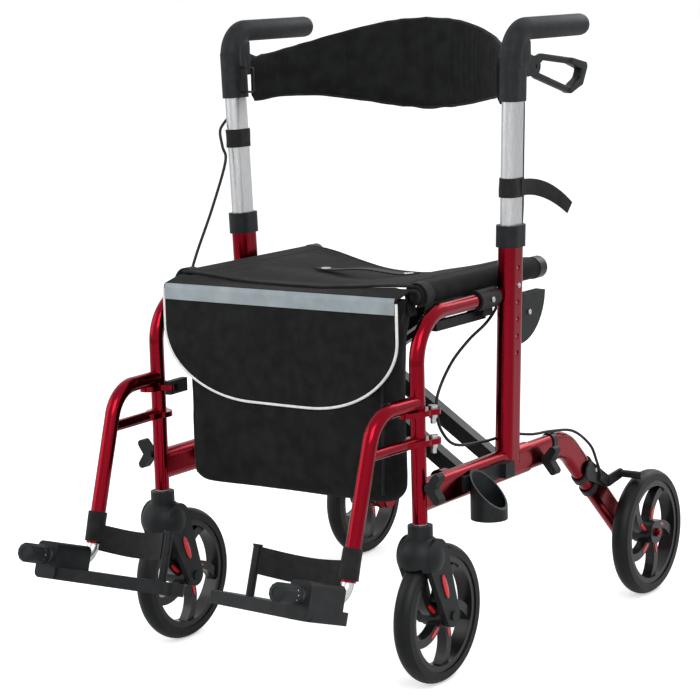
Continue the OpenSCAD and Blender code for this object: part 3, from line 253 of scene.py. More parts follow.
finishLooks = {
    "burgundyCoat": dict(dark=(0.19, 0.0012, 0.008), light=(0.25, 0.002, 0.012), tintScale=700, metal=1.0,
                         rough=(0.16, 0.26), coat=0.10, coatRough=0.04, bumps=[("grain", 90, 0.05, 0.0006)]),
    "satinSilver": dict(dark=(0.52, 0.53, 0.54), light=(0.68, 0.69, 0.70), tintScale=40, stretch=(60, 60, 1),
                        metal=1.0, rough=(0.24, 0.36), wearScale=14, bumps=[("grain", 900, 0.05, 0.0003)]),
    "zincSteel": dict(dark=(0.45, 0.45, 0.45), light=(0.60, 0.60, 0.59), tintScale=60, metal=1.0, rough=(0.25, 0.4),
                      bumps=[("grain", 300, 0.08, 0.0003)]),
    "darkSteel": dict(dark=(0.008, 0.008, 0.009), light=(0.015, 0.015, 0.017), tintScale=30, rough=(0.4, 0.55),
                      coat=0.15, bumps=[("grain", 500, 0.1, 0.0003)]),
    "satinBlackPaint": dict(dark=(0.006, 0.006, 0.007), light=(0.011, 0.011, 0.012), tintScale=40, rough=(0.4, 0.55),
                            coat=0.08, bumps=[("grain", 420, 0.08, 0.0003)]),
    "blackMoulding": dict(dark=(0.005, 0.006, 0.007), light=(0.010, 0.012, 0.013), tintScale=60, rough=(0.42, 0.58),
                          bumps=[("pebble", 1100, 0.12, 0.0003)]),
    "glossMoulding": dict(dark=(0.005, 0.005, 0.006), light=(0.009, 0.009, 0.010), tintScale=50, rough=(0.22, 0.34),
                          specular=0.35, bumps=[("grain", 300, 0.05, 0.0003)]),
    "gripRubber": dict(dark=(0.007, 0.009, 0.011), light=(0.013, 0.016, 0.018), tintScale=80, rough=(0.5, 0.65),
                       bumps=[("pebble", 800, 0.25, 0.0004)]),
    "tyreRubber": dict(dark=(0.0036, 0.0042, 0.0042), light=(0.007, 0.008, 0.008), tintScale=30, rough=(0.38, 0.52),
                       specular=0.2, bumps=[("grain", 450, 0.15, 0.0004)]),
    "cableCover": dict(dark=(0.006, 0.006, 0.007), light=(0.011, 0.011, 0.012), tintScale=90, rough=(0.3, 0.4),
                       bumps=[("grain", 600, 0.05, 0.0002)]),
    "blackNylon": dict(dark=(0.0056, 0.0059, 0.0062), light=(0.0112, 0.0118, 0.0122), tintScale=45,
                       rough=(0.7, 0.85), sheen=0.02, specular=0.1, turn=(0.2, 0.35, 0.15),
                       bumps=[("grain", 28, 0.10, 0.004), ("weave", 620, 0.35, 0.0004)]),
    "blackWebbing": dict(dark=(0.006, 0.006, 0.007), light=(0.013, 0.013, 0.014), tintScale=70, rough=(0.65, 0.8),
                         sheen=0.06, specular=0.2, turn=(0.1, 0.2, 0.3),
                         bumps=[("ribs", 260, 0.3, 0.0005), ("weave", 800, 0.3, 0.0003)]),
    "reflectiveGrey": dict(dark=(0.21, 0.25, 0.27), light=(0.29, 0.33, 0.35), tintScale=25, rough=(0.42, 0.55),
                           specular=0.4, bumps=[("pebble", 500, 0.2, 0.0004), ("grain", 24, 0.25, 0.003)]),
    "whitePiping": dict(dark=(0.66, 0.66, 0.65), light=(0.80, 0.80, 0.79), tintScale=120, rough=(0.6, 0.75),
                        bumps=[("weave", 700, 0.2, 0.0003)]),
    "redLens": dict(dark=(0.50, 0.008, 0.012), light=(0.62, 0.016, 0.02), tintScale=200, rough=(0.15, 0.25), coat=0.5,
                    bumps=[("pebble", 450, 0.3, 0.0005)]),
    "greyThread": dict(dark=(0.03, 0.03, 0.032), light=(0.05, 0.05, 0.052), tintScale=300, rough=(0.7, 0.8),
                       bumps=[("grain", 900, 0.2, 0.0002)]),
}
finish = {name: makeFinish(name, look) for name, look in finishLooks.items()}

nodeFinishes = {
    "burgundyCoat": ["side_frame", "tail_tube", "hanger"],
    "satinSilver": ["handle_tube", "foot_tube"],
    "zincSteel": ["snap_button", "hanger_bolts"],
    "darkSteel": ["brake_bracket", "brake_arm"],
    "satinBlackPaint": ["brace_a", "brace_b"],
    "blackMoulding": ["post_collar", "rail_saddle", "post_wing", "caster_fork", "hanger_latch", "footplate",
                      "front_knob", "rear_knob", "cane_cup"],
    "glossMoulding": ["front_rim", "rear_rim"],
    "gripRubber": ["grip"],
    "tyreRubber": ["front_tyre", "rear_tyre"],
}
for finishName, starts in nodeFinishes.items():
    for nodeName, obj in nodes.items():
        if nodeName in starts or nodeName.rsplit("_", 1)[0] in starts:
            obj.data.materials.clear()
            obj.data.materials.append(finish[finishName])
print("finishes set:", len(finish))

# camera at the photograph's place
cameraPlace = dict(target=(0, -0.035, 0.45), azimuth=34.6, elevation=9.5, roll=1.58, distance=3.484, lens=119.2,
                   shiftX=0.0129, sensor=36, farthest=50)


def addCamera(c):
    az, el, roll = (math.radians(c[k]) for k in ("azimuth", "elevation", "roll"))
    forward = Vector((-math.sin(az) * math.cos(el), math.cos(az) * math.cos(el), -math.sin(el)))
    flatRight = Vector((math.cos(az), math.sin(az), 0))
    flatUp = flatRight.cross(forward)
    right = flatRight * math.cos(roll) - flatUp * math.sin(roll)
    up = flatUp * math.cos(roll) + flatRight * math.sin(roll)
    clearSelection()
    bpy.ops.object.camera_add()
    cam = bpy.context.object
    cam.name = "studioCamera"
    spot = Vector(c["target"]) - forward * c["distance"]
    turn = Matrix((right, up, -forward)).transposed().to_4x4()
    cam.matrix_world = Matrix.Translation(spot) @ turn
    cam.data.sensor_width = c["sensor"]
    cam.data.lens = c["lens"]
    cam.data.shift_x = c["shiftX"]
    cam.data.clip_end = c["farthest"]
    bpy.context.scene.camera = cam


addCamera(cameraPlace)
print("camera placed")

# brake cables, the routes of the part's own source in metres
cable = dict(diameter=0.0046, steps=6, blendY=0.087, blendLow=0.60, blendHigh=0.84,
             tail=[(0.216, -0.100, 0.358), (0.215, -0.060, 0.330), (0.215, 0.020, 0.320), (0.218, 0.090, 0.318),
                   (0.229, 0.140, 0.310), (0.235, 0.186, 0.307), (0.243, 0.240, 0.298), (0.2485, 0.285, 0.268),
                   (0.2506, 0.303, 0.238), (0.2506, 0.3145, 0.2161)],
             left=[(0.252, 0.086, 0.853), (0.251, 0.087, 0.800), (0.248, 0.0875, 0.720), (0.245, 0.090, 0.660),
                   (0.239, 0.091, 0.605), (0.230, 0.091, 0.568), (0.221, 0.084, 0.540), (0.217, 0.066, 0.522),
                   (0.221, 0.040, 0.508), (0.224, 0.010, 0.496), (0.222, -0.030, 0.480), (0.220, -0.075, 0.454),
                   (0.218, -0.108, 0.418), (0.217, -0.114, 0.390)],
             right=[(0.252, 0.086, 0.853), (0.254, 0.088, 0.825), (0.262, 0.084, 0.805), (0.267, 0.062, 0.790),
                    (0.267, 0.045, 0.780), (0.262, 0.028, 0.768), (0.252, 0.020, 0.745), (0.246, 0.018, 0.722),
                    (0.238, -0.030, 0.655), (0.232, -0.080, 0.592), (0.227, -0.104, 0.560), (0.2207, -0.113, 0.5455),
                    (0.2165, -0.120, 0.528), (0.216, -0.124, 0.480), (0.217, -0.120, 0.430), (0.217, -0.114, 0.390)])

for side, sign in bothSides:
    route = [onSide(p, sign) for p in cable[side] + cable["tail"]]
    path = smoothLine(route, cable["steps"])
    cord = tubeAlong("brakeCable." + side, path, cable["diameter"] / 2)
    finishPiece(cord, finish["cableCover"])
    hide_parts("brake_cable_" + side)
    x = route[0][0]
    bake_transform(cord)
print("cables laid")

# seat cloth between the two seat bars
seat = dict(barX=0.206, barZ=0.558, sleeveR=0.016, front=-0.150, rear=0.181, sagFront=0.010, sagRear=0.030,
            ripple=0.0016, rippleLength=0.150, wrapColumns=12, wrapFrom=-70, wrapTurn=160, flatColumns=48, rows=60,
            sleeveColumns=16, sleeveInset=0.0001, thick=0.0026, crease=0.0022, creaseBase=0.6)
seatDepth = seat["rear"] - seat["front"]
seatColumns = 2 * seat["wrapColumns"] + seat["flatColumns"]


def seatHeight(x, y):
    sag = seat["sagFront"] + (seat["sagRear"] - seat["sagFront"]) * (y - seat["front"]) / seatDepth
    sag += seat["ripple"] * math.sin(2 * math.pi * y / seat["rippleLength"])
    return seat["barZ"] + seat["sleeveR"] - sag * max(0, 1 - (x / seat["barX"]) ** 2) ** 2


def seatPlace(k, v):
    # k counts columns: round the right bar, across the seat, round the left bar
    y = seat["front"] + seatDepth * v
    if k < seat["wrapColumns"] or k > seatColumns - seat["wrapColumns"]:
        side = -1 if k < seatColumns / 2 else 1
        t = min(k, seatColumns - k) / seat["wrapColumns"]
        a = math.radians(seat["wrapFrom"] + seat["wrapTurn"] * t)
        out = seat["barX"] + seat["sleeveR"] * math.cos(a)
        return (side * out, y, seat["barZ"] + seat["sleeveR"] * math.sin(a))
    x = seat["barX"] * (2 * (k - seat["wrapColumns"]) / seat["flatColumns"] - 1)
    loose = max(0, 1 - (x / seat["barX"]) ** 2)
    fold = ripple(x * 9, y * 4, 0.3) + 0.6 * ripple(x * 22, y * 9, 1.7)
    return (x, y, seatHeight(x, y) - seat["crease"] * loose * (seat["creaseBase"] + fold))


def seatColumn(x):
    return seat["wrapColumns"] + seat["flatColumns"] * (x / seat["barX"] + 1) / 2


sling = gridPiece("seatCloth", seat["flatColumns"], seat["rows"],
                  lambda u, v: seatPlace(seat["wrapColumns"] + seat["flatColumns"] * u, v))
thicken(sling, seat["thick"], -1)
finishPiece(sling, finish["blackNylon"], "seat")
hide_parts("seat_sling")

# the sleeves round the bars are pieces of their own, each carried by its bar
for name, first, bar in (("seatSleeve.right", 0, "brace_a"),
                         ("seatSleeve.left", seatColumns - seat["wrapColumns"], "brace_b")):
    def barSleevePlace(u, v):
        inside = min(1 - seat["sleeveInset"], max(seat["sleeveInset"], u))
        return seatPlace(first + seat["wrapColumns"] * inside, v)

    sleeve = gridPiece(name, seat["sleeveColumns"], seat["rows"], barSleevePlace)
    thicken(sleeve, seat["thick"], -1)
    finishPiece(sleeve, finish["blackNylon"], bar)

# hems along the front and rear edges, and a line of stitches beside each bar
hem = dict(inset=0.002, drop=0.0012, r=0.0024)
stitch = dict(x=0.178, lift=0.0003, r=0.0006, steps=40)
seatTrim = []
for name, y, v in (("seatHem.front", seat["front"] + hem["inset"], 0),
                   ("seatHem.rear", seat["rear"] - hem["inset"], 1)):
    line = [seatPlace(seat["wrapColumns"] + i, v) for i in range(seat["flatColumns"] + 1)]
    roll = tubeAlong(name, [(p[0], y, p[2] - hem["drop"]) for p in line], hem["r"])
    seatTrim.append(finishPiece(roll, finish["blackWebbing"], "seat"))
for side, sign in bothSides:
    x = sign * stitch["x"]
    line = [seatPlace(seatColumn(x), i / stitch["steps"]) for i in range(stitch["steps"] + 1)]
    line = [(x, y, z + stitch["lift"]) for _, y, z in line]
    thread = tubeAlong("seatStitch." + side, line, stitch["r"], roundness=1)
    seatTrim.append(finishPiece(thread, finish["greyThread"], "seat"))

# pull strap on the seat with a bright eyelet at each end
pull = dict(y=0.040, width=0.025, length=0.176, lift=0.010, gap=0.0012, thick=0.0022, eyeletR=0.0062,
            eyeletWire=0.0013, eyeletLift=0.0026, eyeletFlat=0.7, eyeletAt=dict(left=0.93, right=0.07))


def pullPlace(u, v):
    x = pull["length"] * (u - 0.5)
    y = pull["y"] + pull["width"] * (v - 0.5)
    rise = pull["lift"] * math.cos(math.pi * x / pull["length"]) ** 2
    return (x, y, seatHeight(x, y) + pull["gap"] + rise)


strap = gridPiece("pullStrap", 40, 8, pullPlace)
thicken(strap, pull["thick"], 1)
finishPiece(strap, finish["blackWebbing"], "seat")
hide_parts("pull_strap")
for side, u in pull["eyeletAt"].items():
    x, y, z = pullPlace(u, 0.5)
    clearSelection()
    bpy.ops.mesh.primitive_torus_add(major_radius=pull["eyeletR"], minor_radius=pull["eyeletWire"], major_segments=28,
                                     minor_segments=8)
    ring = bpy.context.object
    ring.name = ring.data.name = "pullEyelet." + side
    place = Matrix.Translation((x, y, z + pull["eyeletLift"]))
    placeMesh(ring, place @ Matrix.Diagonal((1, 1, pull["eyeletFlat"], 1)))
    seatTrim.append(finishPiece(ring, finish["zincSteel"], "seat"))
print("seat made")

# bag under the seat's front
bagSet = dict(voxel=0.006, pressure=2.5, cap=0.006, frames=20, midY=-0.149, slimX=0.985, slimY=0.93, pinAbove=0.53,
              folds=0.0022, foldTop=0.50, foldSpan=0.08, sideFolds=0.6, mouthFrom=0.512, mouthSpan=0.026,
              aheadFrom=-0.146, aheadSpan=0.012, mouthFront=0.010, mouthRear=0.006, mouthWide=0.075,
              baseFrom=0.40, baseSpan=0.10, baseWide=0.05, baseDrop=0.007)
clothSet = dict(quality=5, mass=0.2, stretch=12, shear=6, bend=0.4, smoothBy=0.5, smoothTimes=4)


def copyNode(nodeName, name):
    obj = bpy.data.objects.new(name, nodes[nodeName].data.copy())
    obj.data.name = name
    bpy.context.scene.collection.objects.link(obj)
    tidyFaces(obj)
    return obj


def swell(obj, s, pinned):
    # blow the piece up a little as cloth, and hold each point to a short way
    applyModifier(obj, "REMESH", mode="VOXEL", voxel_size=s["voxel"])
    start = [v.co.copy() for v in obj.data.vertices]
    hold = obj.vertex_groups.new(name="hold")
    hold.add([v.index for v in obj.data.vertices if pinned(v.co)], 1.0, "REPLACE")
    pick(obj)
    mod = obj.modifiers.new("cloth", "CLOTH")
    cloth = mod.settings
    cloth.quality = clothSet["quality"]
    cloth.mass = clothSet["mass"]
    cloth.tension_stiffness = cloth.compression_stiffness = clothSet["stretch"]
    cloth.shear_stiffness = clothSet["shear"]
    cloth.bending_stiffness = clothSet["bend"]
    cloth.use_pressure = True
    cloth.uniform_pressure_force = s["pressure"]
    cloth.vertex_group_mass = "hold"
    cloth.effector_weights.gravity = 0
    mod.collision_settings.use_collision = False
    scene = bpy.context.scene
    for f in range(1, s["frames"] + 1):
        scene.frame_set(f)
    bpy.ops.object.modifier_apply(modifier=mod.name)
    scene.frame_set(1)
    for v, was in zip(obj.data.vertices, start):
        step = v.co - was
        if step.length > s["cap"]:
            v.co = was + step * (s["cap"] / step.length)
    applyModifier(obj, "SMOOTH", factor=clothSet["smoothBy"], iterations=clothSet["smoothTimes"], vertex_group="hold",
                  invert_vertex_group=True)
    obj.vertex_groups.clear()


bag = copyNode("bag", "bagBody")
middle = Matrix.Translation((0, bagSet["midY"], 0))
placeMesh(bag, middle @ Matrix.Diagonal((bagSet["slimX"], bagSet["slimY"], 1, 1)) @ middle.inverted())
swell(bag, bagSet, lambda co: co.z > bagSet["pinAbove"])
applyModifier(bag, "SUBSURF", levels=1, render_levels=1)
for v in bag.data.vertices:
    drop = share((bagSet["foldTop"] - v.co.z) / bagSet["foldSpan"])
    fold = ripple(v.co.x * 16, v.co.y * 10, v.co.z * 4) + 0.5 * ripple(v.co.x * 40, 2.0, v.co.z * 9)
    v.co.y -= bagSet["folds"] * fold * drop
    v.co.x += bagSet["folds"] * bagSet["sideFolds"] * drop * ripple(v.co.y * 22, v.co.z * 12, 4.0)
    # the mouth stands up under the flap, most of all in front of the seat cloth
    mouth = share((v.co.z - bagSet["mouthFrom"]) / bagSet["mouthSpan"])
    ahead = share((bagSet["aheadFrom"] - v.co.y) / bagSet["aheadSpan"])
    v.co.z += mouth * (bagSet["mouthRear"] + bagSet["mouthFront"] * ahead)
    v.co.x *= 1 + bagSet["mouthWide"] * mouth * ahead
    # the base spreads and hangs a little
    base = share((bagSet["baseFrom"] - v.co.z) / bagSet["baseSpan"])
    v.co.x *= 1 + bagSet["baseWide"] * base
    v.co.z -= bagSet["baseDrop"] * base * base
finishPiece(bag, finish["blackNylon"], "seat")
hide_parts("bag")

# seams down the bag's front edges
seam = dict(lowX=0.172, widens=0.0125, y=-0.190, lowZ=0.270, rise=0.255, r=0.0020, steps=30)
bagTrim = []
for side, sign in bothSides:
    line = []
    for t in [i / seam["steps"] for i in range(seam["steps"] + 1)]:
        guess = Vector((sign * (seam["lowX"] + seam["widens"] * t), seam["y"], seam["lowZ"] + seam["rise"] * t))
        line.append(bag.closest_point_on_mesh(guess)[1])
    piece = tubeAlong("bagSeam." + side, line, seam["r"])
    bagTrim.append(finishPiece(piece, finish["blackWebbing"], "seat"))
print("bag made")

# brake levers with their moulded edges rounded off
leverSet = dict(voxel=0.0012, smoothBy=0.5, rounding=18)
for side, sign in bothSides:
    lever = copyNode("brake_lever_" + side, "leverLoop." + side)
    applyModifier(lever, "REMESH", mode="VOXEL", voxel_size=leverSet["voxel"])
    applyModifier(lever, "SMOOTH", factor=leverSet["smoothBy"], iterations=leverSet["rounding"])
    finishPiece(lever, finish["blackMoulding"], "lever_" + side)
    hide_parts("brake_lever_" + side)
print("levers made")

# webs that fill the inner corner of each grip's bend
gripWeb = dict(centre=(0.2533, 0.0655, 0.8905), size=(0.0312, 0.046, 0.046), edge=0.011, steps=6)
for side, sign in bothSides:
    clearSelection()
    bpy.ops.mesh.primitive_cube_add(size=1)
    web = bpy.context.object
    web.name = web.data.name = "gripWeb." + side
    place = Matrix.Translation(onSide(gripWeb["centre"], sign))
    placeMesh(web, place @ Matrix.Diagonal((*gripWeb["size"], 1)))
    applyModifier(web, "BEVEL", width=gripWeb["edge"], segments=gripWeb["steps"])
    finishPiece(web, finish["gripRubber"], "handle_" + side)
print("grip webs made")

# flap over the bag
flap = dict(half=0.206, corner=0.106, cornerWide=0.155, bottom=0.394, top=0.562, rear=-0.1515, short=-0.156,
            shortFrom=0.176, shortSpan=0.012, face=-0.1965, roll=0.007, thick=0.0026, puff=0.004, puffDrop=0.17,
            puffReach=1.05, folds=0.0022, underGap=0.0004, ledgeEnd=0.2, rollEnd=0.3, ledge=0.044, mostArea=0.998)


def flapBottom(x):
    over = (abs(x) - flap["half"]) / flap["cornerWide"] + 1
    if over <= 0:
        return flap["bottom"]
    return flap["bottom"] + flap["corner"] * (1 - math.sqrt(max(0, 1 - over ** 2)))


def flapFace(x, z):
    # how the cloth stands off the bag: a soft puff with a few folds
    t = share((flap["top"] - z) / flap["puffDrop"])
    across = max(0, 1 - (abs(x) / flap["half"]) ** 4)
    puff = flap["puff"] * math.sin(math.pi * min(1, t * flap["puffReach"])) * across
    return flap["face"] - puff - flap["folds"] * ripple(x * 11, 0.5, z * 9) * t


def flapRear(x):
    # the top ends at the seat cloth's front edge, and short of the two seat bars
    t = share((abs(x) - flap["shortFrom"]) / flap["shortSpan"])
    return flap["rear"] + (flap["short"] - flap["rear"]) * t * t * (3 - 2 * t)


def flapPlace(u, v):
    # a ledge from under the seat cloth, a roll over the front and the hanging face
    x = flap["half"] * (2 * u - 1)
    roll = flap["roll"]
    high = flap["top"] - roll
    fold = flap["face"] + roll
    if v < flap["ledgeEnd"]:
        y = flapRear(x) + (fold - flapRear(x)) * v / flap["ledgeEnd"]
        z = seatPlace(seatColumn(x), 0)[2] - seat["thick"] - flap["underGap"]
        return (x, y, z + (flap["top"] - z) * (seat["front"] - y) / (seat["front"] - fold))
    if v < flap["rollEnd"]:
        a = math.pi / 2 * (v - flap["ledgeEnd"]) / (flap["rollEnd"] - flap["ledgeEnd"])
        return (x, fold - roll * math.sin(a), high + roll * math.cos(a))
    z = high + (flapBottom(x) - high) * (v - flap["rollEnd"]) / (1 - flap["rollEnd"])
    return (x, flapFace(x, z), z)


flapCloth = gridPiece("bagFlap", 90, 70, flapPlace)
thicken(flapCloth, flap["thick"], 1)
finishPiece(flapCloth, finish["blackNylon"], "seat")
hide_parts("bag_flap")

# grey band along the flap's top
bandSet = dict(low=0.538, high=0.5605, inset=0.0025, gap=0.0009, thick=0.0008)


def bandPlace(u, v):
    x = (flap["half"] - bandSet["inset"]) * (2 * u - 1)
    z = bandSet["low"] + (bandSet["high"] - bandSet["low"]) * v
    high = flap["top"] - flap["roll"]
    if z <= high:
        return (x, flapFace(x, z) - bandSet["gap"], z)
    a = math.acos(share((z - high) / flap["roll"]))
    r = flap["roll"] + bandSet["gap"]
    return (x, flap["face"] + flap["roll"] - r * math.sin(a), high + r * math.cos(a))


band = gridPiece("reflectiveBand", 90, 16, bandPlace)
thicken(band, bandSet["thick"])
bagTrim.append(finishPiece(band, finish["reflectiveGrey"], "seat"))

# white piping round the flap's edge
pipe = dict(r=0.0021, gap=0.0006, top=0.554, straight=0.052, sideSteps=12, cornerSteps=24, baseSteps=30)
core = flap["half"] - flap["cornerWide"]
knee = flap["bottom"] + flap["corner"]
edge = [(-flap["half"], pipe["top"] - pipe["straight"] * i / pipe["sideSteps"]) for i in range(pipe["sideSteps"])]
for i in range(pipe["cornerSteps"]):
    a = math.pi / 2 * i / pipe["cornerSteps"]
    edge.append((-core - flap["cornerWide"] * math.cos(a), knee - flap["corner"] * math.sin(a)))
otherSide = [(-x, z) for x, z in reversed(edge)]
edge += [(-core + 2 * core * i / pipe["baseSteps"], flap["bottom"]) for i in range(pipe["baseSteps"])]
edge += otherSide
piping = tubeAlong("flapPiping", [(x, flapFace(x, z) + pipe["gap"], z) for x, z in edge], pipe["r"])
bagTrim.append(finishPiece(piping, finish["whitePiping"], "seat"))

# loops that hang the bag on the seat bars
bagLoop = dict(r=0.0185, y=-0.134, width=0.020, tail=0.3, drop=0.030, narrows=0.35, thick=0.0016)


def makeBagLoop(name, sign, body):
    def place(u, v):
        y = bagLoop["y"] + bagLoop["width"] * (v - 0.5)
        t = (1 + 2 * bagLoop["tail"]) * u - bagLoop["tail"]
        a = math.pi * (1 - share(t))
        x = -bagLoop["r"] * math.cos(a)
        z = bagLoop["r"] * math.sin(a)
        if t < 0 or t > 1:
            far = (-t if t < 0 else t - 1) / bagLoop["tail"]
            x *= 1 - bagLoop["narrows"] * far
            z -= bagLoop["drop"] * far
        return (sign * (seat["barX"] + x), y, seat["barZ"] + z)

    loop = gridPiece(name, 48, 8, place)
    thicken(loop, bagLoop["thick"])
    finishPiece(loop, finish["blackWebbing"], body)


makeBagLoop("bagLoop.left", 1, "brace_b")
makeBagLoop("bagLoop.right", -1, "seat")
print("flap made")

# back strap, padded and bound along its edges
back = dict(voxel=0.0045, pressure=3.5, cap=0.005, frames=20, wrinkle=0.0032, endX=0.22799, endY=0.061, bow=0.165,
            midH=0.140, endH=0.056, midZ=0.866, endZ=0.848, hump=0.8, fullEnd=0.068, fullHigh=1.0, fullLow=0.86,
            heldX=0.215, border=0.007, leastEdge=0.01, endGap=0.009, binding=0.0028, bindingOut=1.02, bindingSteps=80)
back["r"] = (back["endX"] ** 2 + back["bow"] ** 2) / (2 * back["bow"])
back["centre"] = back["endY"] + back["bow"] - back["r"]
back["spread"] = math.asin(back["endX"] / back["r"])
if back["bow"] > back["r"]:
    back["spread"] = math.pi - back["spread"]


def backAngle(p):
    return math.atan2(p[0], p[1] - back["centre"])


def backMiddle(s):
    return back["midZ"] + (back["endZ"] - back["midZ"]) * s * s


def backTall(s, end, hump):
    # the strap's height, s from 0 at the crown to 1 at an end
    return end + (back["midH"] - end) * (1 + math.cos(math.pi * min(1, s / hump))) / 2


def backEdge(a, up):
    # a point on the solid's upper or lower edge
    s = abs(a) / back["spread"]
    z = backMiddle(s) + up * backTall(s, back["endH"], back["hump"]) / 2
    return (back["r"] * math.sin(a), back["centre"] + back["r"] * math.cos(a), z)


def fuller(a, z):
    # the cloth narrows more evenly towards its ends than the solid does
    s = min(1, abs(a) / back["spread"])
    mid = backMiddle(s)
    hump = back["fullHigh"] if z > mid else back["fullLow"]
    half = backTall(s, back["fullEnd"], hump) / 2
    return mid + (z - mid) * half / (backEdge(a, 1)[2] - mid)


def backFit(p):
    # the right end stands a little inside its handle, which comes nearer when it is lowered
    a = backAngle(p)
    end = share(-2 * a / back["spread"] - 1)
    return Vector((p[0] + back["endGap"] * end * end, p[1], fuller(a, p[2])))


def heldBack(co):
    # the ends and a narrow border along both edges keep their place
    a = backAngle(co)
    low, high = backEdge(a, -1)[2], backEdge(a, 1)[2]
    return abs(co.x) > back["heldX"] or min(high - co.z, co.z - low) < back["border"]


pad = copyNode("backrest", "backPad")
swell(pad, back, heldBack)
applyModifier(pad, "SUBSURF", levels=1, render_levels=1)
for v in pad.data.vertices:
    a = backAngle(v.co)
    edgeZ = backEdge(a, 1)[2] - back["midZ"]
    inner = max(0, 1 - (abs(v.co.z - back["midZ"]) / max(edgeZ, back["leastEdge"])) ** 2)
    crease = ripple(a * 14, v.co.z * 5, 0.2) + 0.6 * ripple(a * 34, v.co.z * 8, 3.1)
    push = back["wrinkle"] * crease * inner
    v.co.x += push * math.sin(a)
    v.co.y += push * math.cos(a)
    v.co = backFit(v.co)
finishPiece(pad, finish["blackNylon"], "handle_left")
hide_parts("backrest")
backTrim = []
for name, up in (("backBinding.top", 1), ("backBinding.low", -1)):
    near = []
    for i in range(back["bindingSteps"] + 1):
        a = back["spread"] * (2 * i / back["bindingSteps"] - 1)
        near.append(pad.closest_point_on_mesh(backFit(backEdge(a, up * back["bindingOut"])))[1].copy())
    line = near[:1] + [(p + q * 2 + r) / 4 for p, q, r in zip(near, near[1:], near[2:])] + near[-1:]
    binding = tubeAlong(name, line, back["binding"])
    backTrim.append(finishPiece(binding, finish["blackWebbing"], "handle_left"))

# a square ring on the right handle takes the pad's end
backRing = dict(inX=0.2125, outX=0.2375, low=0.829, high=0.867, y=0.0548, wire=0.0018, corner=0.004, cornerSteps=6)


def ringPath():
    spots = []
    r, steps = backRing["corner"], backRing["cornerSteps"]
    inX, outX = backRing["inX"] + r, backRing["outX"] - r
    low, high = backRing["low"] + r, backRing["high"] - r
    for turn, (x, z) in enumerate(((outX, high), (inX, high), (inX, low), (outX, low))):
        for i in range(steps + 1):
            a = math.pi / 2 * (turn + i / steps)
            spots.append((x + r * math.cos(a), backRing["y"], z + r * math.sin(a)))
    return spots


ring = tubeAlong("backRing", [mirrored(p) for p in ringPath()], backRing["wire"], closed=True)
finishPiece(ring, finish["darkSteel"], "handle_right")
print("back strap made")

# straps on the handle tubes, in the leaning post's own frame
post = dict(x=0.232, y=0.057, z=0.281, lean=math.radians(2), tubeW=0.0236, tubeD=0.0406)
tubeStrap = dict(high=0.028, thick=0.0026, wall=0.0018, standOff=0.55, wave=0.12, leftZ=0.414, rightZ=0.476)


def onPost(x, y, z):
    s, c = math.sin(post["lean"]), math.cos(post["lean"])
    return (post["x"] + x * c + z * s, post["y"] + y, post["z"] - x * s + z * c)


def ovalPoint(t, grow):
    # a point round the tube's flat oval, t from 0 to 1
    r = post["tubeW"] / 2 + grow
    flat = (post["tubeD"] - post["tubeW"]) / 2
    straight, bend = 2 * flat, math.pi * r
    d = (t % 1) * 2 * (straight + bend)
    if d <= straight:
        return (r, d - flat)
    d -= straight
    if d <= bend:
        return (r * math.cos(d / r), flat + r * math.sin(d / r))
    d -= bend
    if d <= straight:
        return (-r, flat - d)
    d -= straight
    return (-r * math.cos(d / r), -flat - r * math.sin(d / r))


def makeTubeStrap(side, sign, z, body):
    low = z - tubeStrap["high"] / 2

    def place(u, v):
        grow = tubeStrap["thick"] * (tubeStrap["standOff"] + tubeStrap["wave"] * math.sin(9 * u + 5 * v))
        x, y = ovalPoint(u, grow)
        return onSide(onPost(x, y, low + tubeStrap["high"] * v), sign)

    loop = gridPiece("tubeStrap." + side, 64, 10, place)
    tidyFaces(loop)
    thicken(loop, tubeStrap["wall"])
    finishPiece(loop, finish["blackWebbing"], body)
    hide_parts("tube_strap_" + side)


makeTubeStrap("left", 1, tubeStrap["leftZ"], "frame_left")
makeTubeStrap("right", -1, tubeStrap["rightZ"], "handle_right")

# the left strap's loose end curls outwards and droops
tail = dict(width=0.024, wall=0.0020, curlR=0.150, curlAngle=math.radians(36), drop=0.034, droop=2.6, start=0.003,
            off=0.0014, inset=0.0002, up=0.002, narrows=0.004)


def tailPlace(u, v):
    a = tail["curlAngle"] * u
    r = tail["curlR"] - tubeStrap["thick"] * 0.5 - tail["inset"]
    x = tail["curlR"] - r * math.cos(a)
    y, z = r * math.sin(a), tail["width"] * v
    drop = tail["drop"] * u ** tail["droop"]
    slope = tail["droop"] * tail["drop"] * u ** (tail["droop"] - 1) / (tail["curlR"] * tail["curlAngle"])
    dip = math.atan(slope)
    z -= tail["narrows"] * u ** 4 * (v - 0.5)
    low = tubeStrap["leftZ"] - tubeStrap["high"] / 2 + tail["up"]
    return onPost(post["tubeW"] / 2 + x + tail["off"], tail["start"] + y + z * math.sin(dip),
                  low - drop + z * math.cos(dip))


tailStrap = gridPiece("tubeStrapTail", 40, 8, tailPlace)
thicken(tailStrap, tail["wall"])
finishPiece(tailStrap, finish["blackWebbing"], "frame_left")
print("tube straps made")

# heel straps: a sleeve on each hanger and a band to the footplate's post
upright = dict(x=0.232, y=-0.187)
foot = dict(slope=math.radians(17.7), toe=math.radians(2.4), reach=0.103, leg=0.254, topZ=0.415)
heel = dict(legD=0.022, sleeveT=0.003, sleeveOff=0.62, sleeveWave=0.1, sleeveWall=0.002, low=0.028, sleeveH=0.044,
            bandLow=0.016, bandH=0.038, bandWall=0.0022, bow=0.016, hang=0.004, legGap=0.0005, postGap=0.0016,
            setBack=0.00125, postX=-0.146, postY=-0.021, postD=0.012, blendFrom=(-0.02, 0, 0.045),
            blendTo=(-0.125, -0.018, 0.045))


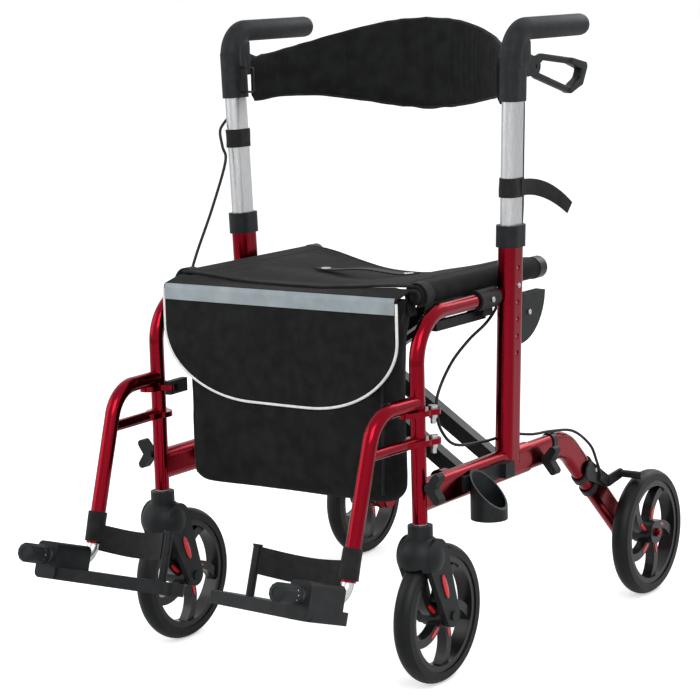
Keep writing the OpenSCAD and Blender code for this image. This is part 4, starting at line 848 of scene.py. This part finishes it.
def onFoot(x, y, z):
    # from the footrest's own frame, at the foot of its sloping tube, to the chair's
    s, c = math.sin(foot["slope"]), math.cos(foot["slope"])
    y, z = y * c + z * s, -y * s + z * c
    y, z = y - foot["reach"] - foot["leg"] * s, z + foot["topZ"] - foot["leg"] * c
    s, c = math.sin(foot["toe"]), math.cos(foot["toe"])
    return (upright["x"] + x * c + y * s, upright["y"] - x * s + y * c, z)


for side, sign in bothSides:
    def sleevePlace(u, v):
        a = 2 * math.pi * u
        wave = heel["sleeveOff"] + heel["sleeveWave"] * math.sin(3 * a + 4 * v)
        r = heel["legD"] / 2 + heel["sleeveT"] * wave
        return onSide(onFoot(r * math.cos(a), r * math.sin(a), heel["low"] + heel["sleeveH"] * v), sign)

    def heelBandPlace(u, v):
        x0 = -heel["legD"] / 2 - heel["legGap"]
        x1 = heel["postX"] + heel["postD"] / 2 + heel["postGap"]
        x = x0 + (x1 - x0) * u
        y = heel["postY"] * u + heel["bow"] * 4 * u * (1 - u) - heel["setBack"]
        z = heel["bandLow"] + heel["bandH"] * v - heel["hang"] * math.sin(math.pi * u)
        return onSide(onFoot(x, y, z), sign)

    sleeve = gridPiece("heelSleeve." + side, 40, 12, sleevePlace)
    tidyFaces(sleeve)
    thicken(sleeve, heel["sleeveWall"])
    finishPiece(sleeve, finish["blackWebbing"], "footrest_" + side)
    heelBand = gridPiece("heelBand." + side, 40, 10, heelBandPlace)
    thicken(heelBand, heel["bandWall"])
    finishPiece(heelBand, finish["blackWebbing"])
    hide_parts("heel_strap_" + side)
    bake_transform(heelBand)
print("heel straps made")

# black end caps on the foot tubes
footCap = dict(r=0.0140, start=0.1118, end=0.1552, flutes=12, fluteDepth=0.0006)


def turnedPiece(name, columns, profile, flutes=0, depth=0.0):
    # a profile of radius and height pairs turned round Z
    last = len(profile) - 1

    def place(u, v):
        r, h = profile[round(v * last)]
        a = 2 * math.pi * u
        if flutes and r > 0.9 * max(p[0] for p in profile):
            r -= depth * max(0, math.cos(flutes * a))
        return (r * math.cos(a), r * math.sin(a), h)

    obj = gridPiece(name, columns, last, place)
    tidyFaces(obj)
    return obj


capLength = footCap["end"] - footCap["start"]
capProfile = [(0.0, 0.0), (0.0118, 0.0), (0.0135, 0.0008), (footCap["r"], 0.0022), (footCap["r"], 0.010),
              (0.0133, 0.0108), (0.0133, 0.0122), (footCap["r"], 0.013), (footCap["r"], capLength - 0.004),
              (0.0134, capLength - 0.0016), (0.0116, capLength - 0.0004), (0.0070, capLength),
              (0.0066, capLength - 0.0010), (0.0, capLength - 0.0010)]
for side, sign in bothSides:
    cap = turnedPiece("footCap." + side, 72, capProfile, footCap["flutes"], footCap["fluteDepth"])
    for v in cap.data.vertices:
        v.co = onSide(onFoot(v.co.x, -footCap["start"] - v.co.z, v.co.y), sign)
    tidyFaces(cap)
    finishPiece(cap, finish["gripRubber"], "footrest_" + side)

# bright rings where the caster stems enter the uprights
stemRing = [(0.0096, 0.2402), (0.0104, 0.2406), (0.0104, 0.2424), (0.0096, 0.2428), (0.0096, 0.2402)]
for side, sign in bothSides:
    ring = turnedPiece("stemRing." + side, 40, stemRing)
    placeMesh(ring, Matrix.Translation((sign * upright["x"], upright["y"], 0)))
    finishPiece(ring, finish["zincSteel"], "caster_" + side)

# red lenses on the fork legs
lens = dict(low=(0.0254, 0.1355), high=(0.0144, 0.1635), width=0.0104, thick=0.0022, faceX=0.0270, stand=0.0012)


def makeLens(name):
    clearSelection()
    bpy.ops.mesh.primitive_uv_sphere_add(segments=32, ring_count=12, radius=1)
    obj = bpy.context.object
    obj.name = obj.data.name = name
    bpy.ops.object.mode_set(mode="EDIT")
    bpy.ops.mesh.select_all(action="SELECT")
    bpy.ops.mesh.bisect(plane_co=(0, 0, 0), plane_no=(1, 0, 0), clear_inner=True, use_fill=True)
    bpy.ops.object.mode_set(mode="OBJECT")
    a, b = Vector(lens["low"]), Vector(lens["high"])
    along = (b - a).normalized()
    reach = (b - a).length / 2 + lens["width"] / 2
    middle = (a + b) / 2
    for v in obj.data.vertices:
        flat = middle + along * v.co.z * reach + Vector((along.y, -along.x)) * v.co.y * lens["width"] / 2
        v.co = (v.co.x * lens["thick"], flat.x, flat.y)
    tidyFaces(obj)
    return obj


for side, sign in bothSides:
    pair = []
    for way in (1, -1):
        one = makeLens("lensHalf")
        spot = (sign * upright["x"] + way * (lens["faceX"] + lens["stand"]), upright["y"], 0)
        placeMesh(one, Matrix.Translation(spot) @ Matrix.Diagonal((way, 1, 1, 1)))
        tidyFaces(one)
        pair.append(one)
    lensPair = joinPieces("forkLens." + side, pair)
    finishPiece(lensPair, finish["redLens"], "caster_" + side)

# red inlays on the spokes' roots
inlay = dict(reach=0.080, bowR=0.056, fromAngle=114.0, toAngle=92.0, width=0.0058, count=5, faceX=0.0083,
             thick=0.0014, taperFrom=0.08, taperSpan=0.9, leastTaper=0.02)


def makeInlays(name):
    low = -math.sqrt(inlay["bowR"] ** 2 - (inlay["reach"] / 2) ** 2)
    parts = []
    for way in (1, -1):
        for k in range(inlay["count"]):
            turn = 2 * math.pi * k / inlay["count"]

            def place(u, v):
                a = math.radians(inlay["fromAngle"] + (inlay["toAngle"] - inlay["fromAngle"]) * u)
                taper = math.sin(math.pi * (inlay["taperFrom"] + inlay["taperSpan"] * u))
                r = inlay["bowR"] + inlay["width"] * (v - 0.5) * math.sqrt(max(inlay["leastTaper"], taper))
                x, y = inlay["reach"] / 2 + r * math.cos(a), low + r * math.sin(a)
                x, y = x * math.cos(turn) - y * math.sin(turn), x * math.sin(turn) + y * math.cos(turn)
                return (way * inlay["faceX"], y, -x)

            wedge = gridPiece("inlayWedge", 12, 4, place)
            thicken(wedge, inlay["thick"])
            parts.append(wedge)
    return joinPieces(name, parts)


wheelSpots = dict(front=(0.232, -0.146, 0.1015), rear=(0.276, 0.424, 0.1015))
firstInlay = makeInlays("hubInlay")
for axle, spot in wheelSpots.items():
    for side, sign in bothSides:
        body = axle + "_wheel_" + side
        copy = bpy.data.objects.new("hubInlay." + body, firstInlay.data.copy())
        bpy.context.scene.collection.objects.link(copy)
        placeMesh(copy, Matrix.Translation(onSide(spot, sign)))
        finishPiece(copy, finish["redLens"], body)
bpy.data.objects.remove(firstInlay)
print("lenses and inlays made")

# plugs in the front ends of the seat bars
barPlug = dict(y=-0.1353, r=0.0130, length=0.0144)
plugProfile = [(0.0, 0.0), (barPlug["r"], 0.0), (barPlug["r"], 0.0102), (0.0122, 0.0124), (0.0098, 0.0138),
               (0.0062, barPlug["length"]), (0.0056, 0.0134), (0.0, 0.0134)]
for side, sign, body in (("left", 1, "brace_b"), ("right", -1, "brace_a")):
    plug = turnedPiece("barPlug." + side, 48, plugProfile)
    place = Matrix.Translation((sign * seat["barX"], barPlug["y"], seat["barZ"]))
    placeMesh(plug, place @ Matrix.Rotation(math.pi / 2, 4, "X"))
    finishPiece(plug, finish["blackMoulding"], body)

# pan-head screws on the side frames
screwHead = dict(r=0.0042, h=0.0024, edge=0.0008, stand=0.4)
screwSpots = dict(wingScrew=(0.2488, 0.100, 0.505), bracketScrew=(0.2475, 0.306, 0.224),
                  saddleScrew=(0.2472, -0.002, 0.537))


def makeScrew(name, spot, direction, body):
    clearSelection()
    bpy.ops.mesh.primitive_cylinder_add(vertices=24, radius=screwHead["r"], depth=screwHead["h"])
    head = bpy.context.object
    head.name = head.data.name = name
    bpy.ops.object.mode_set(mode="EDIT")
    bpy.ops.mesh.select_all(action="SELECT")
    bpy.ops.mesh.bevel(offset=screwHead["edge"], segments=3)
    bpy.ops.object.mode_set(mode="OBJECT")
    turn = Vector((0, 0, 1)).rotation_difference(Vector(direction)).to_matrix().to_4x4()
    outside = Vector(spot) + Vector(direction) * screwHead["h"] * screwHead["stand"]
    placeMesh(head, Matrix.Translation(outside) @ turn)
    finishPiece(head, finish["zincSteel"], body)


for side, sign in bothSides:
    for name, spot in screwSpots.items():
        makeScrew(name + "." + side, onSide(spot, sign), (sign, 0, 0), "frame_" + side)
print("small fittings made")

# give the cloth pieces meshes of their own
for obj in [sling, strap, bag, flapCloth] + seatTrim + bagTrim:
    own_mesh(obj)
for obj in [pad] + backTrim:
    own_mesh(obj)

# floor, world and lights
studio = dict(floorSize=60, floorColor=0.94, floorRough=0.9, floorSpecular=0.1, floorGlow=0.50, worldLight=0.62,
              lampAim=(0, 0, 0.45),
              lamps=[("keyLamp", (2.2, -2.4, 2.8), 2.2, 64), ("fillLamp", (-2.6, -2.2, 1.9), 2.4, 32),
                     ("rimLamp", (0.6, 2.8, 2.6), 2.0, 36)])


def setStudio(s):
    clearSelection()
    bpy.ops.mesh.primitive_plane_add(size=s["floorSize"])
    floor = bpy.context.object
    floor.name = floor.data.name = "studioFloor"
    mat = bpy.data.materials.new("paleFloor")
    mat.use_nodes = True
    tree = mat.node_tree
    shader = tree.nodes["Principled BSDF"]
    shader.inputs["Base Color"].default_value = (s["floorColor"],) * 3 + (1,)
    shader.inputs["Roughness"].default_value = s["floorRough"]
    shader.inputs["Specular IOR Level"].default_value = s["floorSpecular"]
    path = tree.nodes.new("ShaderNodeLightPath")
    glow = tree.nodes.new("ShaderNodeMath")
    glow.operation = "MULTIPLY"
    glow.inputs[1].default_value = s["floorGlow"]
    tree.links.new(path.outputs["Is Camera Ray"], glow.inputs[0])
    shader.inputs["Emission Color"].default_value = (1, 1, 1, 1)
    tree.links.new(glow.outputs["Value"], shader.inputs["Emission Strength"])
    floor.data.materials.append(mat)
    world = bpy.data.worlds.new("studioWorld")
    bpy.context.scene.world = world
    world.use_nodes = True
    tree = world.node_tree
    tree.nodes.clear()
    out = tree.nodes.new("ShaderNodeOutputWorld")
    soft = tree.nodes.new("ShaderNodeBackground")
    soft.inputs["Strength"].default_value = s["worldLight"]
    white = tree.nodes.new("ShaderNodeBackground")
    white.inputs["Strength"].default_value = 1.0
    for n in (soft, white):
        n.inputs["Color"].default_value = (1, 1, 1, 1)
    path = tree.nodes.new("ShaderNodeLightPath")
    sumA = tree.nodes.new("ShaderNodeMath")
    sumB = tree.nodes.new("ShaderNodeMath")
    for n in (sumA, sumB):
        n.operation = "MAXIMUM"
    tree.links.new(path.outputs["Is Camera Ray"], sumA.inputs[0])
    tree.links.new(path.outputs["Is Glossy Ray"], sumA.inputs[1])
    tree.links.new(sumA.outputs["Value"], sumB.inputs[0])
    tree.links.new(path.outputs["Is Transmission Ray"], sumB.inputs[1])
    mix = tree.nodes.new("ShaderNodeMixShader")
    tree.links.new(sumB.outputs["Value"], mix.inputs["Fac"])
    tree.links.new(soft.outputs["Background"], mix.inputs[1])
    tree.links.new(white.outputs["Background"], mix.inputs[2])
    tree.links.new(mix.outputs["Shader"], out.inputs["Surface"])
    for name, spot, size, power in s["lamps"]:
        clearSelection()
        bpy.ops.object.light_add(type="AREA", location=spot)
        lamp = bpy.context.object
        lamp.name = name
        lamp.data.size = size
        lamp.data.energy = power
        lamp.rotation_euler = (Vector(s["lampAim"]) - Vector(spot)).to_track_quat("-Z", "Y").to_euler()
    bpy.context.scene.view_settings.view_transform = "Standard"


setStudio(studio)
print("studio set")
